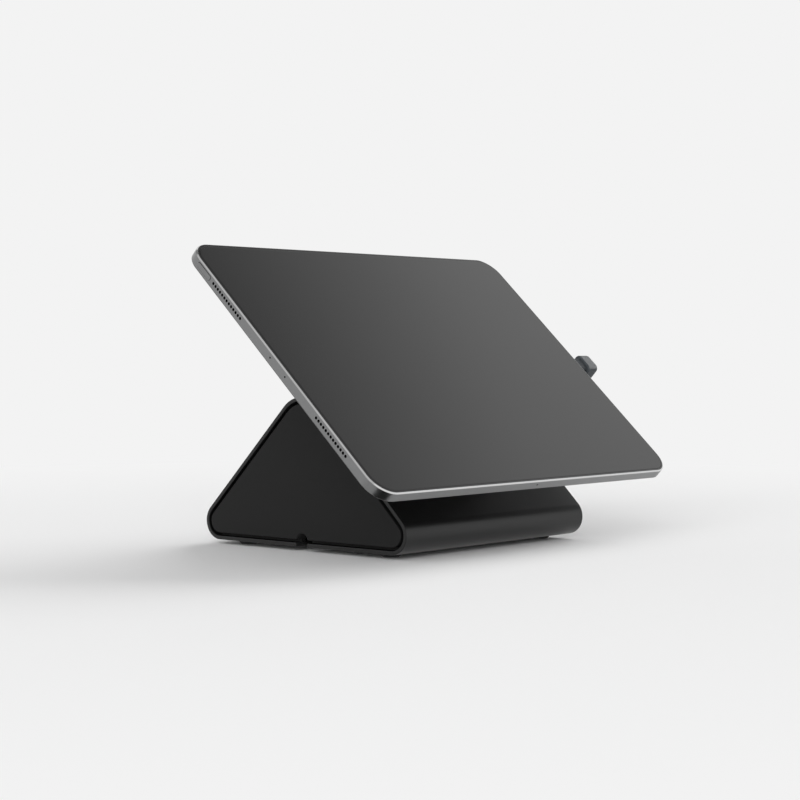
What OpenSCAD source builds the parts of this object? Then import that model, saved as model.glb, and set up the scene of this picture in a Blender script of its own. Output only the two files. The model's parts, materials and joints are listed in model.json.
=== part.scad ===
// Tablet security kiosk stand.
// A triangular extruded base stands on rubber feet. A friction hinge on its ridge carries a plate
// that is bonded to a landscape tablet, and a sliding arm on that plate holds the power plug.
// Millimetres. Origin on the table under the middle of the base, X right, Y back, Z up.

/* [Base] */
// Length of the extruded base along X
base_length = 150; // [130:1:200]
// Depth of the base over its rounded lower corners
base_depth = 142.5; // [130:0.5:180]
// Slope of the front and rear faces from the table
base_slope = 45; // [43:0.5:48]
// Outer radius of the lower corners
corner_r = 10; // [8:0.5:13]
// Outer radius of the ridge
ridge_r = 18.5; // [15:0.5:22]
// Wall thickness of the extrusion
wall = 2; // [1.6:0.1:3]

/* [Feet] */
// Height of a rubber foot
foot_h = 2.5; // [2.2:0.1:6]
// Diameter of a rubber foot
foot_d = 10.4; // [8:0.1:16]
// Distance from the end of the base to a foot's middle
foot_from_end = 12; // [9:0.5:20]
// Distance from the front or rear of the base to a foot's middle
foot_from_edge = 20.5; // [16:0.5:28]

/* [End covers] */
// Width of the shadow groove between the wall and the cover's face
groove_w = 1.7; // [1:0.1:3]
// Depth of the shadow groove
groove_depth = 4; // [2:0.5:6]
// Thickness of the cover's flange behind the groove
flange_t = 3; // [2:0.5:5]
// Gap between the flange and the inside of the wall
cover_fit = 0.15; // [0.1:0.05:0.3]
// Width of the cable outlet
outlet_w = 7.8; // [6:0.2:10]
// Height of the cable outlet above the underside
outlet_h = 6.9; // [6:0.1:9]
// Distance of a fixing lug from the middle of the cover
lug_y = 30; // [20:1:40]
// Length of a fixing lug behind the flange
lug_l = 10; // [9:0.5:14]
// Width and height of a fixing lug
lug_w = 11; // [9:0.5:14]

/* [Inside the base] */
// Thickness of the ballast plate
ballast_t = 6; // [4:0.5:10]
// Gap between the ballast plate and the cover lugs
ballast_end_gap = 3; // [2:0.5:6]
// Margin between the ballast plate and the curved lower corners
ballast_side_gap = 11; // [8:0.5:16]
// Length of the power module
module_l = 60; // [40:1:66]
// Width of the power module
module_w = 46; // [30:1:56]
// Height of the power module
module_h = 24; // [16:1:28]
// Outside diameter of the lead that the clamp and the grommet take
lead_d = 6; // [4:0.5:7]
// Distance of the grommet from the middle of the base along X
grommet_x = 50; // [42:1:56]
// Distance of the grommet below the ridge, along the slope
grommet_down = 34; // [32:1:50]

/* [Hinge] */
// Height of the hinge axis above the ridge
axis_rise = 12.5; // [12:0.5:18]
// Diameter of the hinge shaft
shaft_d = 8; // [6:0.5:9]
// Diameter of the turning barrel
barrel_d = 16; // [14:0.5:17]
// Length of the turning barrel
barrel_l = 34; // [26:1:40]
// Thickness of a saddle ear
ear_t = 10; // [7:0.5:12]
// Diameter of a saddle ear
ear_d = 18; // [15:0.5:19]
// Thickness of the saddle over the ridge
saddle_t = 4; // [3.5:0.1:4]
// Drop of the saddle's skirts below the ridge
skirt_drop = 13; // [12.5:0.5:18]
// Thickness of a friction washer
washer_t = 1.5; // [1:0.1:3]
// Gap between the barrel and a friction washer
axial_gap = 0.3; // [0.2:0.05:0.5]
// Radial running clearance of the barrel on the shaft
running_fit = 0.05; // [0.02:0.01:0.1]
// Thickness of a rubber stop pad
stop_pad_t = 1.5; // [1:0.1:2.5]
// Gap between a stop pad and the knuckle's flange at the end of its turn
stop_gap = 0.3; // [0.2:0.05:0.6]

/* [Mount] */
// Tilt of the tablet from the table
tilt = 43; // [40:0.5:46]
// Distance from the hinge axis to the tablet's back
stand_off = 20; // [19.5:0.5:26]
// Distance of the tablet's middle below the hinge axis, along the tablet
tablet_drop = 20; // [16:0.5:26]
// Width of the mount plate
plate_w = 110; // [106:1:130]
// Height of the mount plate
plate_h = 90; // [86:1:120]
// Thickness of the mount plate
plate_t = 3; // [2.5:0.1:3.5]
// Thickness of the adhesive pad
pad_t = 0.8; // [0.5:0.1:1.2]
// Width of the knuckle's flange
knuckle_w = 50; // [48:0.5:54]
// Height of the knuckle's flange
knuckle_h = 36; // [35:0.5:44]
// Thickness of the knuckle's flange
knuckle_t = 5; // [4:0.5:5.5]

/* [Tablet] */
// Width of the tablet in landscape
tablet_w = 247.6; // [230:0.1:280]
// Height of the tablet in landscape
tablet_h = 178.5; // [165:0.1:200]
// Thickness of the tablet
tablet_t = 5.9; // [5.4:0.1:8]
// Radius of the tablet's corners
tablet_r = 13; // [9:0.5:18]
// Width of the bright chamfer at the front edge
chamfer = 0.6; // [0.3:0.1:0.8]
// Width of the metal rim around the glass, chamfer included
rim_w = 1.7; // [1.3:0.1:2.2]
// Thickness of the cover glass
glass_t = 1; // [0.8:0.1:1.1]
// Gap around the cover glass
glass_gap = 0.12; // [0.05:0.01:0.25]
// Thickness of the housing's side wall
side_t = 2.6; // [2.4:0.1:3]
// Thickness of the housing's back wall
back_t = 0.8; // [0.6:0.1:1]
// Radius of the housing's rear edge
back_round = 0.5; // [0.4:0.1:1.2]
// Depth of the sound holes and buttons below the glass
row_depth = 2.75; // [2.7:0.05:3.2]
// Diameter of a sound hole
sound_hole_d = 1.6; // [1:0.1:1.8]
// Spacing of the sound holes
sound_pitch = 2.16; // [2:0.02:2.3]
// Sound holes in a row
sound_holes = 13; // [8:1:14]
// Distance of a sound row's middle from the tablet's upper or lower edge
sound_row_v = 41.05; // [40:0.05:53]
// Distance of a microphone hole from the middle of the edge
mic_v = 6.85; // [5:0.05:12]
// Diameter of a microphone hole
mic_d = 1; // [0.6:0.1:1.4]
// Diameter of the rear camera ring
camera_d = 17; // [12:0.5:22]
// Height of the rear camera ring
camera_h = 1.6; // [1:0.1:2.4]

/* [Buttons] */
// Length of the top button
button_l = 12.2; // [9:0.1:14]
// Width of a button across the tablet's edge
button_w = 2.6; // [2:0.1:2.8]
// Gap around a button
button_gap = 0.3; // [0.2:0.05:0.4]
// Height of a button above the edge at rest
button_proud = 0.35; // [0.3:0.05:0.6]
// Travel of a button
button_travel = 0.3; // [0.2:0.05:0.3]
// Distance of the top button's middle from the tablet's upper edge
button_from_top = 18.8; // [17:0.1:30]
// Length of a volume button
volume_l = 11; // [8:0.5:14]
// Distance of the first volume button's middle from the tablet's left edge
volume_from_left = 32; // [26:0.5:50]
// Spacing of the two volume buttons
volume_pitch = 17; // [17:0.5:24]

/* [Connector] */
// Travel of the connector arm
arm_travel = 12; // [8:0.5:12]
// Width of the connector arm
arm_w = 12.4; // [9:0.1:14]
// Thickness of the connector arm
arm_t = 3; // [2:0.1:3.5]
// Gap between the arm and what guides it
arm_gap = 0.3; // [0.2:0.05:0.5]
// Length of the arm guide
guide_l = 16; // [15:0.5:18]
// Gap between the tablet's edge and the plug block
plug_reach = 7.6; // [6:0.1:12]
// Length of the plug block along X
block_l = 10.1; // [9:0.1:14]
// Width of the plug block
block_w = 12.5; // [10:0.1:16]
// Radius of the plug block's edges
block_r = 3; // [1:0.1:4]
// Diameter of the lead's bore in the plug block
block_lead_d = 2.6; // [2:0.1:3]
// Width of the plug's metal shell
plug_w = 8.3; // [7.5:0.1:9]
// Height of the plug's metal shell
plug_h = 2.5; // [2:0.1:2.6]
// Depth to which the plug enters the tablet
plug_depth = 6.4; // [5:0.1:7]
// Gap around the plug in the charge port
plug_gap = 0.3; // [0.2:0.05:0.35]

/* [Fasteners] */
// Diameter of the large screws
screw_d = 4; // [3:0.1:4.2]
// Diameter of the small screws
small_screw_d = 3; // [2:0.1:3]
// Clearance around a screw in a plain hole
screw_clearance = 0.4; // [0.2:0.1:0.8]
// Clearance around a screw in its thread
thread_fit = 0.1; // [0.05:0.01:0.15]
// Height of a screw head
head_h = 1.8; // [1.2:0.1:2]

/* [Hidden] */
$fn = 48;

// Extra length of a cut, so that it passes clean through
cut = 1;
// Steps in each rounded corner of an outline, and in the tablet's small rear edge
arc_steps = 12;
back_steps = 3;

// Screw heads with a hexagon drive, and the threads that the screws end in
head_ratio = 1.75;
head_d = head_ratio * screw_d;
small_head_d = head_ratio * small_screw_d;
head_margin = 0.8;
drive_depth = 0.6 * head_h;
tip_gap = 1;
tip_cover = 1;
flush_gap = 0.3;

// Section of the base
corner_y = base_depth / 2 - corner_r;
corner_z = foot_h + corner_r;
sharp_ridge_z = corner_z + corner_y * tan(base_slope) + corner_r / cos(base_slope);
ridge_center_z = sharp_ridge_z - ridge_r / cos(base_slope);
ridge_z = ridge_center_z + ridge_r;
floor_z = foot_h + wall;
end_x = base_length / 2;
outlet_center_z = foot_h + outlet_h - outlet_w / 2;
lug_x = end_x - groove_depth - flange_t - lug_l / 2;
lug_gap = 0.2;
foot_lip = 0.7 * foot_h;

// Inside the base
ballast_l = 2 * (end_x - groove_depth - flange_t - lug_l - ballast_end_gap);
ballast_w = base_depth - 2 * corner_r - 2 * ballast_side_gap;
ballast_top = floor_z + ballast_t;
ballast_screw_inset = 14;
ballast_corner = 4;
tab_l = 12;
tab_t = 3;
module_corner = 3;
rib_pitch = 6;
rib_w = 2;
rib_h = 1.5;
rib_end = 4;
clamp_t = 2;
clamp_wide = 9;
clamp_corner = 2;
clamp_end_gap = 2;
module_end_gap = 3;
module_x = ballast_l / 2 - module_l / 2 - tab_l - module_end_gap;
clamp_x = clamp_wide / 2 + clamp_end_gap - ballast_l / 2;
clamp_tab_y = lead_d / 2 + clamp_t + small_head_d / 2 + head_margin;
grommet_wall = 2;
grommet_lip = 1.6;
grommet_ease = 0.5;

// Hinge
hinge_z = ridge_z + axis_rise;
axis_over_slope = (hinge_z - sharp_ridge_z) * cos(base_slope);
seat_gap = 0.05;
ear_x = barrel_l / 2 + axial_gap + washer_t;
saddle_w = 2 * (ear_x + ear_t);
saddle_screw_gap = 0.5;
saddle_screw_y = -(ridge_r + (hinge_z - sharp_ridge_z) * sin(base_slope) + head_d / 2 + saddle_screw_gap);
saddle_screw_x = saddle_w / 2 - head_d;
saddle_tip_cover = 0.6;
saddle_tip_gap = 0.2;
flange_back = stand_off - pad_t - plate_t - knuckle_t;
web_step = 1;
web_h = barrel_d - 2 * web_step;
stop_w = 16;
stop_margin = 1;
stop_near = barrel_d / 2 + stop_margin;
stop_far = knuckle_h / 2 - stop_margin;
spring_t = 0.8;
spring_cone = 0.5;
spring_l = 2 * (spring_t + spring_cone);
spring_gap = 0.05;
spring_rim = 0.85 * shaft_d;
nut_l = 6.5;
nut_d = 1.8 * shaft_d;
shaft_head_l = 4;
shaft_head_d = 1.65 * shaft_d;
shaft_drive_d = 0.8 * shaft_d;
shaft_drive_depth = 0.6 * shaft_head_l;
shaft_tail = 2;
knuckle_corner = 5;
knuckle_screw_inset = 5;
knuckle_screw_x = knuckle_w / 2 - knuckle_screw_inset;
knuckle_screw_y = knuckle_h / 2 - knuckle_screw_inset;
plate_corner = 8;
pad_margin = 2;

// Tablet, measured on its own face: x right, y up the face, z out of the glass
rim_drop = 0.1;
edge_z = -tablet_t / 2 - rim_drop;
row_z = -row_depth;
sound_y = tablet_h / 2 - sound_row_v;
glass_w = tablet_w - 2 * (rim_w + glass_gap);
glass_h = tablet_h - 2 * (rim_w + glass_gap);
glass_r = tablet_r - rim_w - glass_gap;
glass_ease = 0.3;
inner_z = back_t - tablet_t;
inner_w = tablet_w - 2 * side_t;
inner_h = tablet_h - 2 * side_t;
panel_t = 1.5;
panel_side = 12;
panel_corner = 4;
panel_gap = 0.1;
cell_t = tablet_t - back_t - glass_t - panel_t - 3 * panel_gap;
port_wall = 0.3;
port_w = plug_w + 2 * plug_gap;
port_h = plug_h + 2 * plug_gap;
port_back = 2;
port_l = plug_depth + port_back;
button_y = tablet_h / 2 - button_from_top;
volume_x = -tablet_w / 2 + volume_from_left;
key_flange_t = 0.7;
key_flange = 1.2;
switch_t = 1;
switch_gap = 0.1;
switch_l = 6;
switch_base_l = 8;
switch_foot_t = 0.6;
switch_foot_l = 2;
camera_from_edge = 19;
camera_ring_w = 2;
camera_ease = 0.4;
lens_drop = 0.3;
part_gap = 4;
part_corner = 2;
speaker_l = 16;
board_w = 24;
board_t = 1;
board_edge = 25;
board_x = inner_w / 2 - panel_gap - speaker_l - part_gap - board_w / 2;
chip_w = 14;
chip_pitch = 36;
cell_edge = 22;
cell_gap = 2;
cells_left = panel_gap + speaker_l + part_gap - inner_w / 2;
cells_right = board_x - board_w / 2 - part_gap;
cell_w = (cells_right - cells_left - cell_gap) / 2;

// Connector arm, on the tablet's face
plate_back = -tablet_t - pad_t - plate_t;
arm_front = plate_back - arm_gap;
arm_back = arm_front - arm_t;
guide_wall = 2.2;
guide_inset = 1;
guide_x = plate_w / 2 - guide_inset - guide_l / 2;
guide_side = arm_w / 2 + arm_gap + guide_wall;
guide_ear = small_head_d + 2 * head_margin;
guide_screw_x = guide_l / 2 - small_head_d / 2 - head_margin;
guide_screw_y = guide_side + guide_ear / 2;
slot_w = small_screw_d + 2 * arm_gap;
slot_wall = 3.5;
arm_start = guide_x - arm_travel - slot_w / 2 - slot_wall;
block_x = tablet_w / 2 + plug_reach;
arm_seat = 6;
neck_gap = 0.4;
neck_side = 0.25;
neck_face = 0.45;
neck_w = plug_w + 2 * neck_side;
neck_h = plug_h + 2 * neck_face;
block_thread = 5;
block_lead_depth = 6;
block_lead_x = block_x + (block_l + arm_seat) / 2;

// Points along an arc about (cy, cz)
function arc(cy, cz, r, a0, a1) =
    [for (i = [0:arc_steps]) let (a = a0 + (a1 - a0) * i / arc_steps)
        [cy + r * cos(a), cz + r * sin(a)]];

// Outline of the base, moved inwards by inset
function section(inset) = concat(
    arc(corner_y, corner_z, corner_r - inset, -90, 90 - base_slope),
    arc(0, ridge_center_z, ridge_r - inset, 90 - base_slope, 90 + base_slope),
    arc(-corner_y, corner_z, corner_r - inset, 90 + base_slope, 270));

// Outline of a rectangle with round corners
function round_rect(w, h, r) = concat(
    arc(w / 2 - r, h / 2 - r, r, 0, 90),
    arc(r - w / 2, h / 2 - r, r, 90, 180),
    arc(r - w / 2, r - h / 2, r, 180, 270),
    arc(w / 2 - r, r - h / 2, r, 270, 360));

// Extrudes an outline drawn in Y and Z along X, from x0 to x1
module along_x(x0, x1) {
    translate([x0, 0, 0]) rotate([90, 0, 90]) linear_extrude(x1 - x0) children();
}

// Round bar along X, from x0 to x1
module bar_x(d, x0, x1) {
    translate([x0, 0, 0]) rotate([0, 90, 0]) cylinder(d = d, h = x1 - x0);
}

// Block from one corner to the opposite corner
module block(low, high) {
    translate(low) cube(high - low);
}

// Slab with round corners, from z0 to z1
module slab(w, h, r, z0, z1) {
    translate([0, 0, z0]) linear_extrude(z1 - z0) polygon(round_rect(w, h, r));
}

// Pill along X, of length l over its round ends, from z0 to z1
module pill(l, w, z0, z1) {
    for (s = [-1, 1]) translate([s * (l - w) / 2, 0, z0]) cylinder(d = w, h = z1 - z0);
    block([-(l - w) / 2, -w / 2, z0], [(l - w) / 2, w / 2, z1]);
}

// Screw with its head on the plane z = 0 and its shank below
module screw(d, shank) {
    difference() {
        cylinder(d = head_ratio * d, h = head_h);
        translate([0, 0, head_h - drive_depth]) cylinder(d = d, h = drive_depth + cut, $fn = 6);
    }
    translate([0, 0, -shank]) cylinder(d = d, h = shank);
}

// Hole below and above the plane z = 0
module hole(d, below, above) {
    translate([0, 0, -below]) cylinder(d = d, h = below + above);
}

// Carries a profile round a rectangle with corners of radius r. The profile's x is the distance
// from the corner's middle and its y is the height.
module rim_sweep(w, h, r) {
    for (i = [0:3]) {
        span = i % 2 == 0 ? [w, h] : [h, w];
        rotate([0, 0, 90 * i]) translate([span[0] / 2 - r, 0, 0]) {
            translate([0, span[1] / 2 - r, 0]) rotate_extrude(angle = 90) children();
            rotate([90, 0, 0]) linear_extrude(span[1] - 2 * r, center = true) children();
        }
    }
}

// Places on the hinge axis, turned to the tablet's tilt
module on_hinge() {
    translate([0, 0, hinge_z]) rotate([tilt, 0, 0]) children();
}

// Places on the tablet's face
module on_tablet() {
    on_hinge() translate([0, -tablet_drop, tablet_t + stand_off]) children();
}

// Places on the front slope's outer face, and on the rear slope's with side = -1. Y runs up the
// slope and is 0 below the hinge axis, Z points outwards.
module on_slope(side) {
    mirror([0, side < 0 ? 1 : 0, 0]) translate([0, 0, hinge_z])
        rotate([base_slope, 0, 0]) translate([0, 0, -axis_over_slope]) children();
}

// Both signs of X and of Y
module four(x, y) {
    for (sx = [-1, 1], sy = [-1, 1]) translate([sx * x, sy * y, 0]) children();
}

// Round-topped cable outlet through the left end, open at the bottom
module cable_outlet() {
    depth = groove_depth + flange_t + lug_l / 2;
    translate([-end_x, 0, 0]) {
        translate([0, 0, outlet_center_z]) bar_x(outlet_w, -cut, depth);
        block([-cut, -outlet_w / 2, foot_h - cut], [depth, outlet_w / 2, outlet_center_z]);
    }
}

module grommet_place() {
    on_slope(1) translate([grommet_x, -grommet_down, 0]) children();
}

module saddle_screw_places() {
    for (side = [-1, 1], sx = [-1, 1]) on_slope(side)
        translate([sx * saddle_screw_x, saddle_screw_y, -wall]) mirror([0, 0, 1]) children();
}

module cover_screw_places() {
    translate([0, 0, foot_h]) mirror([0, 0, 1]) four(lug_x, lug_y) children();
}

module ballast_screw_places() {
    translate([0, 0, foot_h]) mirror([0, 0, 1])
        four(ballast_l / 2 - ballast_screw_inset, ballast_w / 2 - ballast_screw_inset) children();
}

module module_screw_places() {
    for (s = [-1, 1])
        translate([module_x + s * (module_l + tab_l) / 2, 0, ballast_top + tab_t]) children();
}

module clamp_screw_places() {
    for (s = [-1, 1]) translate([clamp_x, s * clamp_tab_y, ballast_top + clamp_t]) children();
}

module knuckle_screw_places() {
    on_hinge() translate([0, 0, flange_back]) mirror([0, 0, 1])
        four(knuckle_screw_x, knuckle_screw_y) children();
}

module guide_screw_places() {
    on_tablet() translate([guide_x, 0, plate_back - guide_wall]) mirror([0, 0, 1])
        four(guide_screw_x, guide_screw_y) children();
}

module lock_screw_place() {
    on_tablet() translate([guide_x, 0, arm_back - arm_gap - guide_wall])
        mirror([0, 0, 1]) children();
}

module body_shell() {
    color([0.09, 0.09, 0.1]) difference() {
        along_x(-end_x, end_x) polygon(section(0));
        along_x(-end_x - cut, end_x + cut) polygon(section(wall));
        for (side = [0, 1]) mirror([side, 0, 0]) cable_outlet();
        cover_screw_places() hole(screw_d + screw_clearance, wall + cut, cut);
        ballast_screw_places() hole(screw_d + screw_clearance, wall + cut, cut);
        saddle_screw_places() hole(screw_d + screw_clearance, wall + cut, cut);
        grommet_place() hole(lead_d + 2 * grommet_wall + screw_clearance, wall + cut, cut);
    }
}

module end_cover() {
    color([0.16, 0.16, 0.17]) difference() {
        union() {
            along_x(-end_x, -end_x + groove_depth) polygon(section(wall + groove_w));
            along_x(-end_x + groove_depth, -end_x + groove_depth + flange_t)
                polygon(section(wall + cover_fit));
            for (s = [-1, 1])
                translate([-lug_x, s * lug_y, floor_z + lug_gap])
                    block([-lug_l / 2, -lug_w / 2, 0], [lug_l / 2, lug_w / 2, lug_w]);
        }
        cable_outlet();
        cover_screw_places() hole(screw_d + thread_fit, wall + lug_w - tip_cover, 0);
    }
}

module left_end_cover() {
    end_cover();
}

module right_end_cover() {
    mirror([1, 0, 0]) end_cover();
}

module cover_screws() {
    color([0.3, 0.3, 0.32]) cover_screw_places() screw(screw_d, wall + lug_w - tip_cover - tip_gap);
}

module rubber_feet() {
    color([0.1, 0.1, 0.1]) four(end_x - foot_from_end, base_depth / 2 - foot_from_edge)
        rotate_extrude() polygon(concat([[0, 0]],
            arc(foot_d / 2 - foot_lip, foot_lip, foot_lip, -90, 0),
            [[foot_d / 2, foot_h], [0, foot_h]]));
}

module ballast_plate() {
    color([0.45, 0.45, 0.47]) difference() {
        slab(ballast_l, ballast_w, ballast_corner, floor_z, ballast_top);
        ballast_screw_places() hole(screw_d + thread_fit, wall + ballast_t - tip_cover, 0);
        module_screw_places() hole(small_screw_d + thread_fit, tab_t + ballast_t - tip_cover, 0);
        clamp_screw_places() hole(small_screw_d + thread_fit, clamp_t + ballast_t - tip_cover, 0);
    }
}

module ballast_screws() {
    color([0.3, 0.3, 0.32]) ballast_screw_places()
        screw(screw_d, wall + ballast_t - tip_cover - tip_gap);
}

module power_module() {
    color([0.2, 0.2, 0.21]) difference() {
        translate([module_x, 0, ballast_top]) {
            slab(module_l, module_w, module_corner, 0, module_h);
            slab(module_l + 2 * tab_l, 2 * tab_l, module_corner, 0, tab_t);
            for (y = [rib_pitch - module_w / 2:rib_pitch:module_w / 2 - rib_pitch])
                translate([0, y, 0])
                    block([rib_end - module_l / 2, -rib_w / 2, module_h - rib_w / 2],
                        [module_l / 2 - rib_end, rib_w / 2, module_h + rib_h]);
        }
        module_screw_places() hole(small_screw_d + screw_clearance, tab_t + cut, cut);
    }
}

module module_screws() {
    color([0.6, 0.6, 0.62]) module_screw_places()
        screw(small_screw_d, tab_t + ballast_t - tip_cover - tip_gap);
}

module cable_clamp() {
    lead_r = lead_d / 2;
    arch_r = lead_r + clamp_t;
    color([0.12, 0.12, 0.12]) difference() {
        translate([clamp_x, 0, ballast_top]) {
            translate([0, 0, lead_r]) bar_x(2 * arch_r, -clamp_wide / 2, clamp_wide / 2);
            block([-clamp_wide / 2, -arch_r, 0], [clamp_wide / 2, arch_r, lead_r]);
            slab(clamp_wide, 2 * (clamp_tab_y + head_margin) + small_head_d, clamp_corner, 0, clamp_t);
        }
        translate([clamp_x, 0, ballast_top]) {
            translate([0, 0, lead_r]) bar_x(lead_d, -clamp_wide, clamp_wide);
            block([-clamp_wide, -lead_r, -cut], [clamp_wide, lead_r, lead_r]);
            block([-clamp_wide, -arch_r, -arch_r], [clamp_wide, arch_r, 0]);
        }
        clamp_screw_places() hole(small_screw_d + screw_clearance, clamp_t + cut, cut);
    }
}

module clamp_screws() {
    color([0.6, 0.6, 0.62]) clamp_screw_places()
        screw(small_screw_d, clamp_t + ballast_t - tip_cover - tip_gap);
}

module cable_grommet() {
    neck = lead_d / 2 + grommet_wall;
    lip = neck + grommet_lip;
    color([0.08, 0.08, 0.08]) grommet_place() rotate_extrude() polygon([
        [lead_d / 2, -wall - grommet_lip], [lip, -wall - grommet_lip], [lip, -wall], [neck, -wall],
        [neck, 0], [lip, 0], [lip - grommet_ease, grommet_lip], [lead_d / 2, grommet_lip]]);
}

module hinge_saddle() {
    color([0.13, 0.13, 0.14]) difference() {
        union() {
            intersection() {
                along_x(-saddle_w / 2, saddle_w / 2) polygon(section(-saddle_t));
                block([-saddle_w, -base_depth, ridge_z - skirt_drop], [saddle_w, base_depth, hinge_z]);
            }
            for (side = [0, 1]) mirror([side, 0, 0]) {
                translate([0, 0, hinge_z]) bar_x(ear_d, ear_x, saddle_w / 2);
                block([ear_x, -ear_d / 2, ridge_center_z], [saddle_w / 2, ear_d / 2, hinge_z]);
            }
            for (side = [0, 1]) mirror([0, side, 0]) on_hinge()
                block([-stop_w / 2, -stop_far, -ear_d / 2],
                    [stop_w / 2, -stop_near, flange_back - stop_gap - stop_pad_t]);
        }
        along_x(-saddle_w, saddle_w) polygon(section(-seat_gap));
        translate([0, 0, hinge_z]) bar_x(shaft_d + 2 * running_fit, -saddle_w, saddle_w);
        saddle_screw_places() hole(screw_d + thread_fit, wall + saddle_t - saddle_tip_cover, 0);
    }
}

module saddle_screws() {
    color([0.3, 0.3, 0.32]) saddle_screw_places()
        screw(screw_d, wall + saddle_t - saddle_tip_cover - saddle_tip_gap);
}

module stop_pads() {
    top = flange_back - stop_gap;
    color([0.07, 0.07, 0.07]) for (side = [0, 1]) mirror([0, side, 0]) on_hinge()
        block([-stop_w / 2, -stop_far, top - stop_pad_t], [stop_w / 2, -stop_near, top]);
}

module friction_washers() {
    color([0.72, 0.56, 0.3]) for (side = [0, 1]) mirror([side, 0, 0]) translate([0, 0, hinge_z])
        difference() {
            bar_x(barrel_d, ear_x - washer_t, ear_x);
            bar_x(shaft_d + 2 * running_fit, 0, saddle_w);
        }
}

module hinge_shaft() {
    color([0.62, 0.62, 0.64]) translate([0, 0, hinge_z]) difference() {
        union() {
            bar_x(shaft_d, -saddle_w / 2 - shaft_head_l, saddle_w / 2 + spring_l + nut_l + shaft_tail);
            bar_x(shaft_head_d, -saddle_w / 2 - shaft_head_l, -saddle_w / 2);
        }
        translate([-saddle_w / 2 - shaft_head_l - cut, 0, 0]) rotate([0, 90, 0])
            cylinder(d = shaft_drive_d, h = cut + shaft_drive_depth, $fn = 6);
    }
}

module disc_springs() {
    bore = shaft_d / 2 + 2 * running_fit;
    thin = spring_t - spring_gap;
    color([0.55, 0.55, 0.58]) translate([saddle_w / 2, 0, hinge_z]) rotate([0, 90, 0]) {
        rotate_extrude() polygon([[bore, 0], [spring_rim, spring_cone],
            [spring_rim, spring_cone + thin], [bore, thin]]);
        rotate_extrude() polygon([[bore, spring_l], [spring_rim, spring_l - spring_cone],
            [spring_rim, spring_l - spring_cone - thin], [bore, spring_l - thin]]);
    }
}

module hinge_nut() {
    color([0.62, 0.62, 0.64]) translate([saddle_w / 2 + spring_l, 0, hinge_z]) rotate([0, 90, 0])
        difference() {
            cylinder(d = nut_d, h = nut_l, $fn = 6);
            hole(shaft_d + thread_fit, cut, nut_l + cut);
        }
}

module hinge_knuckle() {
    color([0.13, 0.13, 0.14]) difference() {
        on_hinge() {
            bar_x(barrel_d, -barrel_l / 2, barrel_l / 2);
            block([-barrel_l / 2, -web_h / 2, 0], [barrel_l / 2, web_h / 2, flange_back]);
            slab(knuckle_w, knuckle_h, knuckle_corner, flange_back, flange_back + knuckle_t);
        }
        on_hinge() bar_x(shaft_d + 2 * running_fit, -barrel_l, barrel_l);
        knuckle_screw_places() hole(screw_d + screw_clearance, knuckle_t + cut, cut);
    }
}

module knuckle_screws() {
    color([0.3, 0.3, 0.32]) knuckle_screw_places() screw(screw_d, knuckle_t + plate_t - flush_gap);
}

module mount_plate() {
    color([0.15, 0.15, 0.16]) difference() {
        on_tablet() slab(plate_w, plate_h, plate_corner, plate_back, plate_back + plate_t);
        knuckle_screw_places() hole(screw_d + thread_fit, knuckle_t + plate_t + cut, 0);
        guide_screw_places() hole(small_screw_d + thread_fit, guide_wall + plate_t + cut, 0);
        lock_screw_place()
            hole(small_screw_d + thread_fit, guide_wall + 2 * arm_gap + arm_t + plate_t + cut, 0);
    }
}

module adhesive_pad() {
    color([0.35, 0.35, 0.36]) on_tablet()
        slab(plate_w - 2 * pad_margin, plate_h - 2 * pad_margin, plate_corner - pad_margin,
            -tablet_t - pad_t, -tablet_t);
}

module arm_guide() {
    top = arm_back - arm_gap - guide_wall;
    color([0.15, 0.15, 0.16]) difference() {
        on_tablet() translate([guide_x, 0, 0]) {
            block([-guide_l / 2, -guide_side, top], [guide_l / 2, guide_side, plate_back]);
            block([-guide_l / 2, -guide_side - guide_ear, plate_back - guide_wall],
                [guide_l / 2, guide_side + guide_ear, plate_back]);
        }
        on_tablet() block([0, -arm_w / 2 - arm_gap, arm_back - arm_gap],
            [tablet_w, arm_w / 2 + arm_gap, plate_back + cut]);
        guide_screw_places() hole(small_screw_d + screw_clearance, guide_wall + cut, cut);
        lock_screw_place() hole(small_screw_d + screw_clearance, guide_wall + cut, cut);
    }
}

module guide_screws() {
    color([0.3, 0.3, 0.32]) guide_screw_places()
        screw(small_screw_d, guide_wall + plate_t - flush_gap);
}

module arm_lock_screw() {
    color([0.6, 0.6, 0.62]) lock_screw_place()
        screw(small_screw_d, guide_wall + 2 * arm_gap + arm_t + plate_t - flush_gap);
}

// Hole through the tablet's left or right edge at height v
module edge_hole(side, v, d) {
    translate([side * (tablet_w / 2 - side_t / 2), v, row_z])
        bar_x(d, -side_t / 2 - cut, side_t / 2 + cut);
}

// Places on the outside of the left edge: x along the edge, z into the tablet
module on_left_edge(v) {
    translate([-tablet_w / 2, v, row_z]) rotate([90, 0, 90]) children();
}

// Places on the outside of the upper edge: x along the edge, z into the tablet
module on_upper_edge(x) {
    translate([x, tablet_h / 2, row_z]) rotate([90, 0, 0]) children();
}

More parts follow.
